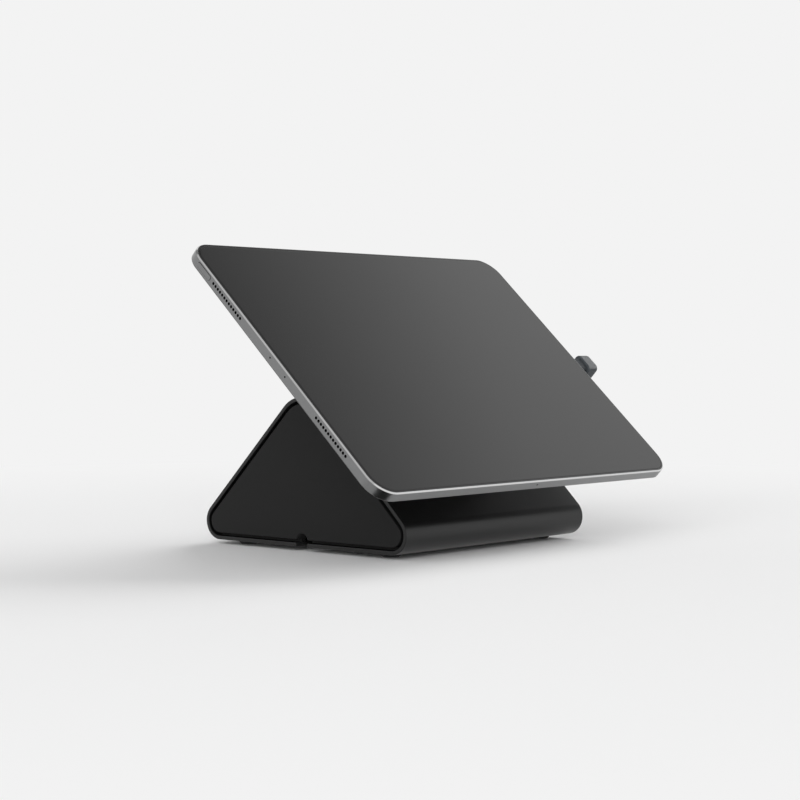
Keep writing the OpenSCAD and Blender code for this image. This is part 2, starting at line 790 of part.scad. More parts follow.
module tablet_housing() {
    round_r = tablet_r - back_round;
    color([0.52, 0.52, 0.53]) on_tablet() difference() {
        union() {
            rim_sweep(tablet_w, tablet_h, tablet_r) polygon(concat(
                [[0, -tablet_t]],
                [for (i = [0:back_steps]) let (a = 90 * i / back_steps - 90)
                    [round_r + back_round * cos(a), back_round * (1 + sin(a)) - tablet_t]],
                [[tablet_r, -rim_drop - chamfer], [tablet_r - chamfer, -rim_drop],
                [tablet_r - rim_w, -rim_drop], [tablet_r - rim_w, -glass_t],
                [tablet_r - side_t, -glass_t], [tablet_r - side_t, inner_z], [0, inner_z]]));
            block([tablet_r - tablet_w / 2, tablet_r - tablet_h / 2, -tablet_t],
                [tablet_w / 2 - tablet_r, tablet_h / 2 - tablet_r, inner_z]);
        }
        for (side = [-1, 1], row = [-1, 1], i = [0:sound_holes - 1])
            edge_hole(side, row * sound_y + (i - (sound_holes - 1) / 2) * sound_pitch,
                sound_hole_d);
        for (s = [-1, 1]) edge_hole(-1, s * mic_v, mic_d);
        translate([0, side_t / 2 - tablet_h / 2, row_z]) rotate([90, 0, 0])
            hole(mic_d, side_t / 2 + cut, side_t / 2 + cut);
        on_left_edge(button_y)
            pill(button_l + 2 * button_gap, button_w + 2 * button_gap, -cut, side_t + cut);
        for (i = [0, 1]) on_upper_edge(volume_x + i * volume_pitch)
            pill(volume_l + 2 * button_gap, button_w + 2 * button_gap, -cut, side_t + cut);
        translate([tablet_w / 2, 0, edge_z]) rotate([90, 0, -90])
            pill(port_w, port_h, -cut, side_t + cut);
    }
}

module cover_glass() {
    color([0.04, 0.04, 0.045]) on_tablet() {
        rim_sweep(glass_w, glass_h, glass_r) polygon([[0, -glass_t], [glass_r, -glass_t],
            [glass_r, -glass_ease], [glass_r - glass_ease, 0], [0, 0]]);
        block([glass_r - glass_w / 2, glass_r - glass_h / 2, -glass_t],
            [glass_w / 2 - glass_r, glass_h / 2 - glass_r, 0]);
    }
}

module display_panel() {
    color([0.1, 0.1, 0.12]) on_tablet()
        slab(inner_w - 2 * panel_side, inner_h - 2 * panel_side, panel_corner,
            -glass_t - panel_t, -glass_t);
}

module battery_cells() {
    color([0.25, 0.25, 0.27]) on_tablet() for (x = [cells_left, cells_right - cell_w])
        translate([x + cell_w / 2, 0, 0])
            slab(cell_w, inner_h - 2 * cell_edge, part_corner, inner_z, inner_z + cell_t);
}

module logic_board() {
    color([0.1, 0.25, 0.18]) on_tablet() translate([board_x, 0, inner_z]) {
        slab(board_w, inner_h - 2 * board_edge, part_corner, 0, board_t);
        for (v = [-chip_pitch, 0, chip_pitch]) translate([0, v, 0])
            block([-chip_w / 2, -chip_w / 2, board_t / 2], [chip_w / 2, chip_w / 2, cell_t]);
    }
}

module speaker_modules() {
    row = (sound_holes - 1) * sound_pitch + sound_hole_d;
    color([0.12, 0.12, 0.12]) on_tablet() for (sx = [-1, 1], sy = [-1, 1])
        translate([sx * (inner_w / 2 - speaker_l / 2 - panel_gap), sy * sound_y, 0])
            slab(speaker_l, row, part_corner, inner_z, inner_z + cell_t);
}

module charge_port() {
    low = [-port_l, -port_w / 2 - port_wall, -port_h / 2 - port_wall];
    color([0.3, 0.3, 0.3]) on_tablet() translate([tablet_w / 2 - side_t, 0, edge_z]) difference() {
        block(low, [0, -low[1], -low[2]]);
        rotate([90, 0, -90]) pill(port_w, port_h, -cut, plug_depth - side_t + plug_gap);
    }
}

// Button with a retaining flange behind the edge: x along the edge, z into the tablet
module key(l) {
    pill(l, button_w, -button_proud, side_t + button_gap);
    pill(l + key_flange, button_w, side_t + button_gap, side_t + button_gap + key_flange_t);
}

// Switch that the key presses, on a foot against the back wall
module key_switch() {
    near = side_t + button_gap + key_flange_t + button_travel + switch_gap;
    foot = row_z - inner_z;
    block([-switch_l / 2, -foot, near], [switch_l / 2, button_w / 2, near + switch_t]);
    block([-switch_base_l / 2, -foot, near + switch_t],
        [switch_base_l / 2, switch_foot_t - foot, near + switch_t + switch_foot_l]);
}

module button_switches() {
    color([0.6, 0.6, 0.6]) on_tablet() {
        on_left_edge(button_y) key_switch();
        for (i = [0, 1]) on_upper_edge(volume_x + i * volume_pitch) key_switch();
    }
}

module camera_place() {
    on_tablet() mirror([0, 0, 1])
        translate([camera_from_edge - tablet_w / 2, tablet_h / 2 - camera_from_edge, tablet_t]) children();
}

module camera_ring() {
    outer = camera_d / 2;
    inner = outer - camera_ring_w;
    color([0.4, 0.4, 0.41]) camera_place() rotate_extrude() polygon([[inner, 0], [outer, 0],
        [outer, camera_h - camera_ease], [outer - camera_ease, camera_h], [inner, camera_h]]);
}

module camera_lens() {
    color([0.03, 0.03, 0.04]) camera_place()
        cylinder(d = camera_d - 2 * camera_ring_w, h = camera_h - lens_drop);
}

module connector_arm() {
    color([0.15, 0.15, 0.16]) on_tablet() difference() {
        block([arm_start, -arm_w / 2, arm_back], [block_x + arm_seat, arm_w / 2, arm_front]);
        translate([guide_x - arm_travel / 2, 0, 0])
            pill(arm_travel + slot_w, slot_w, arm_back - cut, arm_front + cut);
        translate([block_x + arm_seat / 2, 0, arm_back])
            hole(small_screw_d + screw_clearance, cut, arm_t + cut);
    }
}

module plug_block() {
    color([0.2, 0.2, 0.22]) on_tablet() difference() {
        translate([0, 0, arm_back / 2]) along_x(block_x, block_x + block_l)
            polygon(round_rect(block_w, -arm_back, block_r));
        block([block_x - cut, -block_w, arm_back - cut], [block_x + arm_seat, block_w, arm_front]);
        translate([block_x + arm_seat / 2, 0, arm_front])
            hole(small_screw_d + thread_fit, 0, block_thread);
        translate([block_lead_x, 0, arm_back]) hole(block_lead_d, cut, block_lead_depth);
    }
}

module block_screw() {
    color([0.3, 0.3, 0.32]) on_tablet() translate([block_x + arm_seat / 2, 0, arm_back])
        mirror([0, 0, 1]) screw(small_screw_d, arm_t + block_thread - tip_gap);
}

module plug_body() {
    color([0.06, 0.06, 0.06]) on_tablet() translate([block_x, 0, edge_z]) rotate([90, 0, -90])
        pill(neck_w, neck_h, 0, plug_reach - neck_gap);
}

module plug_shell() {
    color([0.7, 0.7, 0.72]) on_tablet() translate([tablet_w / 2 + neck_gap, 0, edge_z])
        rotate([90, 0, -90]) pill(plug_w, plug_h, 0, plug_depth + neck_gap);
}

module top_button() {
    color([0.5, 0.5, 0.51]) on_tablet() on_left_edge(button_y) key(button_l);
}

module volume_up_button() {
    color([0.5, 0.5, 0.51]) on_tablet() on_upper_edge(volume_x) key(volume_l);
}

module volume_down_button() {
    color([0.5, 0.5, 0.51]) on_tablet() on_upper_edge(volume_x + volume_pitch) key(volume_l);
}

body_shell();
left_end_cover();
right_end_cover();
cover_screws();
rubber_feet();
ballast_plate();
ballast_screws();
power_module();
module_screws();
cable_clamp();
clamp_screws();
cable_grommet();
hinge_saddle();
saddle_screws();
stop_pads();
friction_washers();
hinge_shaft();
disc_springs();
hinge_nut();
hinge_knuckle();
knuckle_screws();
mount_plate();
adhesive_pad();
arm_guide();
guide_screws();
arm_lock_screw();
tablet_housing();
cover_glass();
display_panel();
battery_cells();
logic_board();
speaker_modules();
charge_port();
button_switches();
camera_ring();
camera_lens();
connector_arm();
plug_block();
block_screw();
plug_body();
plug_shell();
top_button();
volume_up_button();
volume_down_button();
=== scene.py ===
import json
import math

import bmesh
import bpy
import numpy as np
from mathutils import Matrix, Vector

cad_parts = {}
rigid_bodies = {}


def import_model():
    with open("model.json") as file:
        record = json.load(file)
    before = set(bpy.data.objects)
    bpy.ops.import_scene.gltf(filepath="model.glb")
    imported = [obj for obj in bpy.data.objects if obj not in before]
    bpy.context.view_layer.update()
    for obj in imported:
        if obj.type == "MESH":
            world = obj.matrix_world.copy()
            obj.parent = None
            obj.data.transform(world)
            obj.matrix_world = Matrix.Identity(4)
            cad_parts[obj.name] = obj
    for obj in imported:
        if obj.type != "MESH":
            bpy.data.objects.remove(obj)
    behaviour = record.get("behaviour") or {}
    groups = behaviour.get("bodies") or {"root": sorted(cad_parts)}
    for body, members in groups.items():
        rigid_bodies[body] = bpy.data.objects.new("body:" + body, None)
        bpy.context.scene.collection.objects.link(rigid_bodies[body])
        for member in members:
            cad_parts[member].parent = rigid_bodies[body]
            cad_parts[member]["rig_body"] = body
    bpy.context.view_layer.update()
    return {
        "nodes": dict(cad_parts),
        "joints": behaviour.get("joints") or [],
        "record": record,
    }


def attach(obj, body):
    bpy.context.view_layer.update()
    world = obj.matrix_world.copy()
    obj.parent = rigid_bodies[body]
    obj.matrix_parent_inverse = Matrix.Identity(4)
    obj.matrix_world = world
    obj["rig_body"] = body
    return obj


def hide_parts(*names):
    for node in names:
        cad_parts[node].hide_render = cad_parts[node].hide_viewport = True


# Tablet security kiosk stand: its finishes and finer shapes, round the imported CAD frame.
# Shapes are worked out in millimetres and become metres when a mesh is made.

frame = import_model()

MM = 0.001
WELD = 1e-6
FLAT_ANGLE = math.radians(0.6)
SHARP_ANGLE = math.radians(32)
ARC_STEPS = 18
EASE_STEPS = 4
BEVEL_STEPS = 3
ROUND_SIDES = 48
OVERRUN = 1
FACE_RUN = 3
CAP_INSET = 1

# Base, from the part's source
CORNER_R = 10
RIDGE_R = 18.5
WALL = 2
RIM_EASE = 0.3
COVER_INSET = 3.7
FLANGE_INSET = 2.15
GROOVE_DEPTH = 4
FLANGE_T = 3
COVER_EASE = 0.5
OUTLET_R = 3.9
OUTLET_Z = 5.5
OUTLET_DEPTH = 12
LUG_LENGTH = 10
LUG_WIDTH = 11
LUG_SINK = 1
LUG_GAP = 0.2
LUG_HOLE_R = 2.05
LUG_ROOF = 1
FOOT_LIP = 1.75
FOOT_MIDDLE_R = 0.8
SCREW_HOLE_R = 2.2
GROMMET_HOLE_R = 5.2
GROMMET_NECK_R = 5
GROMMET_BORE_R = 3
GROMMET_LIP = 1.6
GROMMET_EASES = (0.4, 0.5, 0.3, 0, 0, 0.2, 1.0, 0.7)

# Hinge and fasteners
SHAFT_R = 4
SHAFT_HEAD_L = 4
SHAFT_HEAD_TOP = 1.6
SHAFT_HEAD_EASES = (0.9, 0.2)
SHAFT_DRIVE = 6.4
SHAFT_DRIVE_DEPTH = 2.4
SHAFT_TIP = 1
THREAD_PITCH = 1.25
THREAD_DEPTH = 0.5
THREAD_TURNS = 8
BORE_R = 4.05
HEAD_H = 1.8
HEAD_RATIO = 1.75
HEAD_TOP = 0.9
HEAD_EASES = (0.55, 0.12, 0, 0)
SCREW_TIP = 0.5
DRIVE_DEPTH = 1.08
NUT_FACE = 0.2
NUT_BEVEL = 0.7
SPRING_CONE = 0.5
SPRING_T = 0.75
SPRING_GAP = 0.05
WASHER_EASE = 0.2
CASTING_EASE = 0.7
BUFFER_EASE = 0.4
ARM_EASE = 0.35

# Mount, tablet and connector
PLATE_R, PLATE_EASE = 8, 0.45
PAD_R, PAD_EASE = 6, 0.25
TABLET_R = 13
SIDE_T = 2.6
BACK_T = 0.8
BACK_ROUND = 0.5
TRAY_INSET = 4
CHAMFER = 0.6
RIM_LIP = 0.72
RIM_W = 1.7
RIM_DROP = 0.1
GLASS_T = 1
GLASS_R = 11.18
GLASS_EASES = (0.1, 0.3)
GLASS_INSETS = (3, 1.3)
SOUND_HOLES = 13
SOUND_PITCH = 2.16
SOUND_ROW = 48.2
SOUND_R = 0.8
MIC_R = 0.5
MIC_V = 6.85
KEY_GAP = 0.16
KEY_EASE = 0.3
KEY_FLANGE_T = 0.7
KEY_FLANGE = 1.2
CAMERA_RING_EASES = (0, 0, 0.6, 0.3)
LENS_RIM = 0.4
LENS_MIDDLE_R = 1
BLOCK_R = 3
BLOCK_EASE = (0.9, 2.4)
BLOCK_INSET = 2.7
ARM_SEAT = 6
LEAD_BORE_R = 1.3
LEAD_BORE_DEPTH = 6
PORT_GAP = 0.3
PLUG_WALL = 0.35
PLUG_MOUTH = 1.6
PLUG_EASE = 0.15
NECK_EASE = 0.4

# Finishes of the pieces with more than one, and the names of their tones
# The third tray finish is painted shade on the walls of the sound holes, key slots and port.
TRAY_FINISHES = ("grey_aluminium", "polished_chamfer", "painted_shade_black", "black_glass", "rear_edge_painted_shade")
# The fifth tray finish is painted shade on the rounding of the left side's rear edge.
BRIGHT, HOLE_SHADE, GASKET, SHADED = range(1, 5)
# The block's second finish is painted shade on its end towards the tablet and on its downward
# faces.
BLOCK_FINISHES = ("block_aluminium", "block_painted_shade")
BLOCK_SHADE = 1
BLOCK_SIDE_LEAST = 0.75
REAR_EDGE_LEAST = 0.8


class Place:
    """Axes in the row frame: a local point lies at the origin plus its numbers along the axes."""

    def __init__(self, axes, origin=(0, 0, 0)):
        self.axes = np.array(axes, float)
        self.origin = np.array(origin, float)

    def out(self, points):
        return np.asarray(points, float) @ self.axes + self.origin

    def into(self, points):
        return (np.asarray(points, float) - self.origin) @ self.axes.T

    def at(self, *point):
        """The same axes, with their origin at a local point."""
        return Place(self.axes, self.out(point))


def node_points(node):
    """The corners of a CAD node's triangles, in millimetres."""
    mesh = frame["nodes"][node].data
    flat = np.empty(3 * len(mesh.vertices))
    mesh.vertices.foreach_get("co", flat)
    return flat.reshape(-1, 3) / MM


def span(node, place):
    """Lowest and highest numbers of a CAD node along a place's axes."""
    local = place.into(node_points(node))
    return local.min(0), local.max(0)


def quarters(node, place):
    """The same for each of a node's solids, told apart by their side of the node's middle."""
    local = place.into(node_points(node))
    middle = (local.min(0) + local.max(0)) / 2
    side = (local[:, :2] > middle[:2]) @ [1, 2]
    return [(local[side == s].min(0), local[side == s].max(0)) for s in np.unique(side)]


joints = {joint["name"]: joint for joint in frame["joints"]}
x_axis, y_axis, z_axis = np.eye(3)
ROW = Place(np.eye(3))
ALONG_BASE = Place([y_axis, z_axis, x_axis])
UNDER_BASE = Place([x_axis, -y_axis, -z_axis])
slope_up = np.array([0, 1, 1]) / math.sqrt(2)
ON_SLOPE = Place([x_axis, slope_up, np.cross(x_axis, slope_up)])
hinge_z = joints["flip"]["pos_m"][2] / MM
ALONG_SHAFT = Place([y_axis, z_axis, x_axis], (0, 0, hinge_z))

face_up = -np.array(joints["volume_up_press"]["axis"])
face_up /= np.linalg.norm(face_up)
face_out = np.cross(x_axis, face_up)
ON_FACE = Place([x_axis, face_up, face_out])
glass_low, glass_high = span("cover_glass", ON_FACE)
ON_FACE = ON_FACE.at(*((glass_low + glass_high) / 2)[:2], glass_high[2])
BEHIND = Place([x_axis, -face_up, -face_out], ON_FACE.origin)
LEFT_EDGE = Place([face_out, face_up, -x_axis], ON_FACE.origin)
RIGHT_EDGE = Place([face_up, face_out, x_axis], ON_FACE.origin)
UPPER_EDGE = Place([face_out, x_axis, face_up], ON_FACE.origin)
LOWER_EDGE = Place([x_axis, face_out, -face_up], ON_FACE.origin)


def arc(u, v, radius, start, end, steps=ARC_STEPS):
    """Points at equal angles from start to end, in degrees, at one radius from (u, v)."""
    angle = np.radians(np.linspace(start, end, steps + 1))
    return np.column_stack([u + radius * np.cos(angle), v + radius * np.sin(angle)])


def rounded_rect(width, height, radius):
    """Quarter arcs about the four corners' middles, joined by straight sides."""
    u, v = width / 2 - radius, height / 2 - radius
    return np.vstack([arc(u, v, radius, 0, 90), arc(-u, v, radius, 90, 180),
                      arc(-u, -v, radius, 180, 270), arc(u, -v, radius, 270, 360)])


def inset_rect(width, height, radius):
    """The rounded rectangle as a function of how far its sides move inwards."""
    return lambda inset: rounded_rect(width - 2 * inset, height - 2 * inset, radius - inset)


def pill(width, length):
    """Half circles about two points on the second axis, joined by straight sides."""
    radius = width / 2
    return np.vstack([arc(0, length / 2 - radius, radius, 0, 180),
                      arc(0, radius - length / 2, radius, 180, 360)])


def inset_pill(width, length):
    """The pill laid along the first axis, as a function of how far its sides move inwards."""
    return lambda inset: pill(width - 2 * inset, length - 2 * inset)[:, ::-1]


def ring_angles():
    """Equal steps of angle once round, in radians."""
    return np.linspace(0, 2 * math.pi, ROUND_SIDES, endpoint=False)


def circle(radius):
    """Equal steps of angle at one radius."""
    return radius * np.column_stack([np.cos(ring_angles()), np.sin(ring_angles())])


def hexagon(across_corners):
    """Half the width across flats over the cosine of the angle to the nearest flat's middle."""
    to_flat = np.mod(ring_angles(), math.pi / 3) - math.pi / 6
    reach = across_corners / 2 * math.cos(math.pi / 6) / np.cos(to_flat)
    return reach[:, None] * circle(1)


def eased(corners, radii, closed=False):
    """Straight runs whose corners become arcs touching both runs. A radius of 0 keeps a corner."""
    corners = np.array(corners, float)
    if closed:
        corners = np.vstack([corners[-1:], corners, corners[:1]])
    points = [corners[:1]]
    for before, corner, after, radius in zip(corners, corners[1:], corners[2:], radii):
        if not radius:
            points.append(corner[None])
            continue
        back = (before - corner) / np.linalg.norm(before - corner)
        ahead = (after - corner) / np.linalg.norm(after - corner)
        half = math.acos(back @ ahead) / 2
        middle = corner + (back + ahead) / np.linalg.norm(back + ahead) * radius / math.sin(half)
        first = corner + back * radius / math.tan(half) - middle
        last = corner + ahead * radius / math.tan(half) - middle
        turn = math.pi - 2 * half
        share = np.linspace(0, 1, EASE_STEPS + 1)[:, None]
        swept = np.sin((1 - share) * turn) * first + np.sin(share * turn) * last
        points.append(middle + swept / math.sin(turn))
    points.append(corners[-1:])
    return np.vstack(points[1:-1] if closed else points)


def level(outline, height):
    """An outline set at one height."""
    return np.insert(outline, 2, height, axis=1)


def moulded(outline, profile):
    """A profile carried round an outline: each row is the outline's inset and its height."""
    return np.stack([level(outline(inset), height) for inset, height in profile])


def turned(profile):
    """A profile of rows (radius, height), turned about the height axis."""
    return moulded(circle, profile)


def skin(rings, place, closed=False, tone=0, band_tones=None, first_tone=None):
    """Quads between each ring and the next. An open stack ends in faces across its end rings."""
    rows, count = rings.shape[:2]
    bands = rows if closed else rows - 1
    here = np.arange(bands)[:, None] * count
    there = (np.arange(1, bands + 1) % rows)[:, None] * count
    first, second = np.arange(count), np.roll(np.arange(count), -1)
    quads = np.stack([here + first, here + second, there + second, there + first], axis=-1)
    faces = quads.reshape(-1, 4).tolist()
    tones = np.repeat(np.full(bands, tone) if band_tones is None else band_tones, count).tolist()
    if not closed:
        faces += [first[::-1].tolist(), (first + (rows - 1) * count).tolist()]
        tones += [tone if first_tone is None else first_tone, tone]
    return place.out(rings.reshape(-1, 3)), faces, tones


def bored(place, u, v, radius, low, high, tone=0):
    """A round bar to cut a hole with: a circle carried from low to high."""
    return skin(turned([(radius, low), (radius, high)]), place.at(u, v, 0), tone=tone)


def bar(place, outline, low, high, tone=0):
    """An outline carried from low to high."""
    return skin(np.stack([level(outline, low), level(outline, high)]), place, tone=tone)


def block(place, low, high, tone=0):
    """A rectangle carried from the lowest corner to the highest."""
    outline = np.array([(low[0], low[1]), (high[0], low[1]), (high[0], high[1]), (low[0], high[1])])
    return bar(place, outline, low[2], high[2], tone)


def cad_shape(node):
    """A CAD node's own triangles."""
    points = node_points(node)
    corners = np.empty(3 * len(frame["nodes"][node].data.polygons), int)
    frame["nodes"][node].data.polygons.foreach_get("vertices", corners)
    return points, corners.reshape(-1, 3).tolist(), [0] * (len(corners) // 3)


def raw_object(name, *shapes, flatten=False):
    """Several shapes in one mesh, with shared corners merged and faces turned outwards."""
    starts = np.cumsum([0] + [len(points) for points, _, _ in shapes])
    faces = [[corner + start for corner in face]
             for (_, own, _), start in zip(shapes, starts) for face in own]
    mesh = bpy.data.meshes.new(name)
    mesh.from_pydata(np.vstack([points for points, _, _ in shapes]) * MM, [], faces)
    mesh.polygons.foreach_set("material_index", [tone for _, _, tones in shapes for tone in tones])
    work = bmesh.new()
    work.from_mesh(mesh)
    bmesh.ops.remove_doubles(work, verts=work.verts, dist=WELD)
    if flatten:
        bmesh.ops.dissolve_limit(work, angle_limit=FLAT_ANGLE, verts=work.verts, edges=work.edges)
    bmesh.ops.recalc_face_normals(work, faces=work.faces)
    work.to_mesh(mesh)
    work.free()
    piece = bpy.data.objects.new(name, mesh)
    bpy.context.scene.collection.objects.link(piece)
    return piece


def carved(piece, *shapes, tones=(), operation="DIFFERENCE"):
    """Cuts shapes out of a piece, or adds them, and keeps the result as its mesh."""
    tool = raw_object("tool", *shapes)
    for owner in (piece, tool):
        for finish_name in tones:
            owner.data.materials.append(finishes[finish_name])
    cut = piece.modifiers.new("cut", "BOOLEAN")
    cut.solver, cut.operation, cut.object = "EXACT", operation, tool
    cut.material_mode = "INDEX"
    plain = piece.data
    depsgraph = bpy.context.evaluated_depsgraph_get()
    piece.data = bpy.data.meshes.new_from_object(piece.evaluated_get(depsgraph))
    piece.modifiers.clear()
    tool_mesh = tool.data
    bpy.data.objects.remove(tool)
    for mesh in (plain, tool_mesh):
        bpy.data.meshes.remove(mesh)
    piece.data.name = piece.name
    return piece


def toned_side(piece, direction, tone, least):
    """Gives a tone to the faces whose normal, times the direction, is over the least."""
    faces = piece.data.polygons
    normals, tones = np.empty(3 * len(faces)), np.empty(len(faces), int)
    faces.foreach_get("normal", normals)
    faces.foreach_get("material_index", tones)
    tones[normals.reshape(-1, 3) @ direction > least] = tone
    faces.foreach_set("material_index", tones)


def dress(piece, node, bevel=0):
    """Smooth shading with sharp edges kept, the finish of the node's slot, and the node's body."""
    mesh = piece.data
    mesh.shade_smooth()
    mesh.set_sharp_from_angle(angle=SHARP_ANGLE)
    if not mesh.materials:
        mesh.materials.append(finishes[slots[node]])
    if bevel:
        ease = piece.modifiers.new("ease", "BEVEL")
        ease.width, ease.segments = bevel * MM, BEVEL_STEPS
        ease.limit_method, ease.angle_limit = "ANGLE", SHARP_ANGLE
        ease.harden_normals = False
    evened = piece.modifiers.new("evened", "WEIGHTED_NORMAL")
    evened.keep_sharp = True
    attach(piece, frame["nodes"][node]["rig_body"])
    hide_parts(node)
    return piece


# Finishes

CLOUD_DETAIL, CLOUD_ROUGHNESS = 5, 0.6
CLOUD_ENDS = (0.32, 0.68)
GRAIN_DETAIL, FINER_DETAIL = 2, 1
GRAIN_ROUGHNESS = 0.55
FINER_SCALE, FINER_SHARE = 2.7, 0.33
GLASS_IOR = 1.54


def socket_group(name, inputs, outputs):
    """A shader node group with named number inputs and outputs, reading Object coordinates."""
    group = bpy.data.node_groups.new(name, "ShaderNodeTree")
    for label, value in inputs:
        socket = group.interface.new_socket(label, in_out="INPUT", socket_type="NodeSocketFloat")
        socket.default_value = value
    for label in outputs:
        group.interface.new_socket(label, in_out="OUTPUT", socket_type="NodeSocketFloat")
    given, result = group.nodes.new("NodeGroupInput"), group.nodes.new("NodeGroupOutput")
    return group, given, result, group.nodes.new("ShaderNodeTexCoord")


def math_node(tree, operation, *values):
    """A Math node on linked sockets and plain numbers."""
    node = tree.nodes.new("ShaderNodeMath")
    node.operation = operation
    for socket, value in zip(node.inputs, values):
        if isinstance(value, bpy.types.NodeSocket):
            tree.links.new(value, socket)
        else:
            socket.default_value = value
    return node.outputs["Value"]


def noise(group, coords, scale, detail, roughness):
    """Noise of one scale over the object's own coordinates."""
    node = group.nodes.new("ShaderNodeTexNoise")
    group.links.new(coords.outputs["Object"], node.inputs["Vector"])
    group.links.new(scale, node.inputs["Scale"])
    node.inputs["Detail"].default_value = detail
    node.inputs["Roughness"].default_value = roughness
    return node.outputs["Fac"]


def surface_variation():
    """Soft clouds: noise stretched to the range 0 to 1, and the same between two given values."""
    group, given, result, coords = socket_group(
        "surface_variation", [("Scale", 60), ("Low", 0), ("High", 1)], ["Mask", "Value"])
    cloud = noise(group, coords, given.outputs["Scale"], CLOUD_DETAIL, CLOUD_ROUGHNESS)
    for label, ends in (("Mask", None), ("Value", ("Low", "High"))):
        stretch = group.nodes.new("ShaderNodeMapRange")
        stretch.inputs["From Min"].default_value = CLOUD_ENDS[0]
        stretch.inputs["From Max"].default_value = CLOUD_ENDS[1]
        group.links.new(cloud, stretch.inputs["Value"])
        if ends:
            group.links.new(given.outputs[ends[0]], stretch.inputs["To Min"])
            group.links.new(given.outputs[ends[1]], stretch.inputs["To Max"])
        group.links.new(stretch.outputs["Result"], result.inputs[label])
    return group


def fine_grain():
    """Height of a blasted, coated or moulded surface: small noise plus a third of a finer one."""
    group, given, result, coords = socket_group("fine_grain", [("Scale", 2500)], ["Height"])
    scale = given.outputs["Scale"]
    finer_scale = math_node(group, "MULTIPLY", scale, FINER_SCALE)
    finer = noise(group, coords, finer_scale, FINER_DETAIL, GRAIN_ROUGHNESS)
    coarse = noise(group, coords, scale, GRAIN_DETAIL, GRAIN_ROUGHNESS)
    height = math_node(group, "MULTIPLY_ADD", finer, FINER_SHARE, coarse)
    group.links.new(height, result.inputs["Height"])
    return group


CLOUDS, GRAIN = surface_variation(), fine_grain()


def grey(value, warmth=0.0):
    """A grey with a little more red, or with a negative warmth more blue."""
    return (value * (1 + warmth), value, value * (1 - warmth), 1)


def finish(name, dark, light, roughness, metallic, clouds, grain, depth, specular):
    """Two tones in soft clouds, a roughness that follows them and a fine grain. Widths in mm."""
    material = bpy.data.materials.new(name)
    material.use_nodes = True
    nodes, links = material.node_tree.nodes, material.node_tree.links
    shader = nodes["Principled BSDF"]
    shader.inputs["Metallic"].default_value = metallic
    shader.inputs["Specular IOR Level"].default_value = specular
    cloud = nodes.new("ShaderNodeGroup")
    cloud.node_tree = CLOUDS
    cloud.inputs["Scale"].default_value = 1 / (clouds * MM)
    cloud.inputs["Low"].default_value, cloud.inputs["High"].default_value = roughness
    tones = nodes.new("ShaderNodeMix")
    tones.data_type = "RGBA"
    tones.inputs["A"].default_value, tones.inputs["B"].default_value = dark, light
    links.new(cloud.outputs["Mask"], tones.inputs["Factor"])
    links.new(tones.outputs["Result"], shader.inputs["Base Color"])
    links.new(cloud.outputs["Value"], shader.inputs["Roughness"])
    if depth:
        rough = nodes.new("ShaderNodeGroup")
        rough.node_tree = GRAIN
        rough.inputs["Scale"].default_value = 1 / (grain * MM)
        bump = nodes.new("ShaderNodeBump")
        bump.inputs["Distance"].default_value = depth * MM
        links.new(rough.outputs["Height"], bump.inputs["Height"])
        links.new(bump.outputs["Normal"], shader.inputs["Normal"])
    finishes[name] = material
    return shader


finishes = {}
slots = {row["node"]: row["material_slot"] for row in frame["record"]["subparts"]}

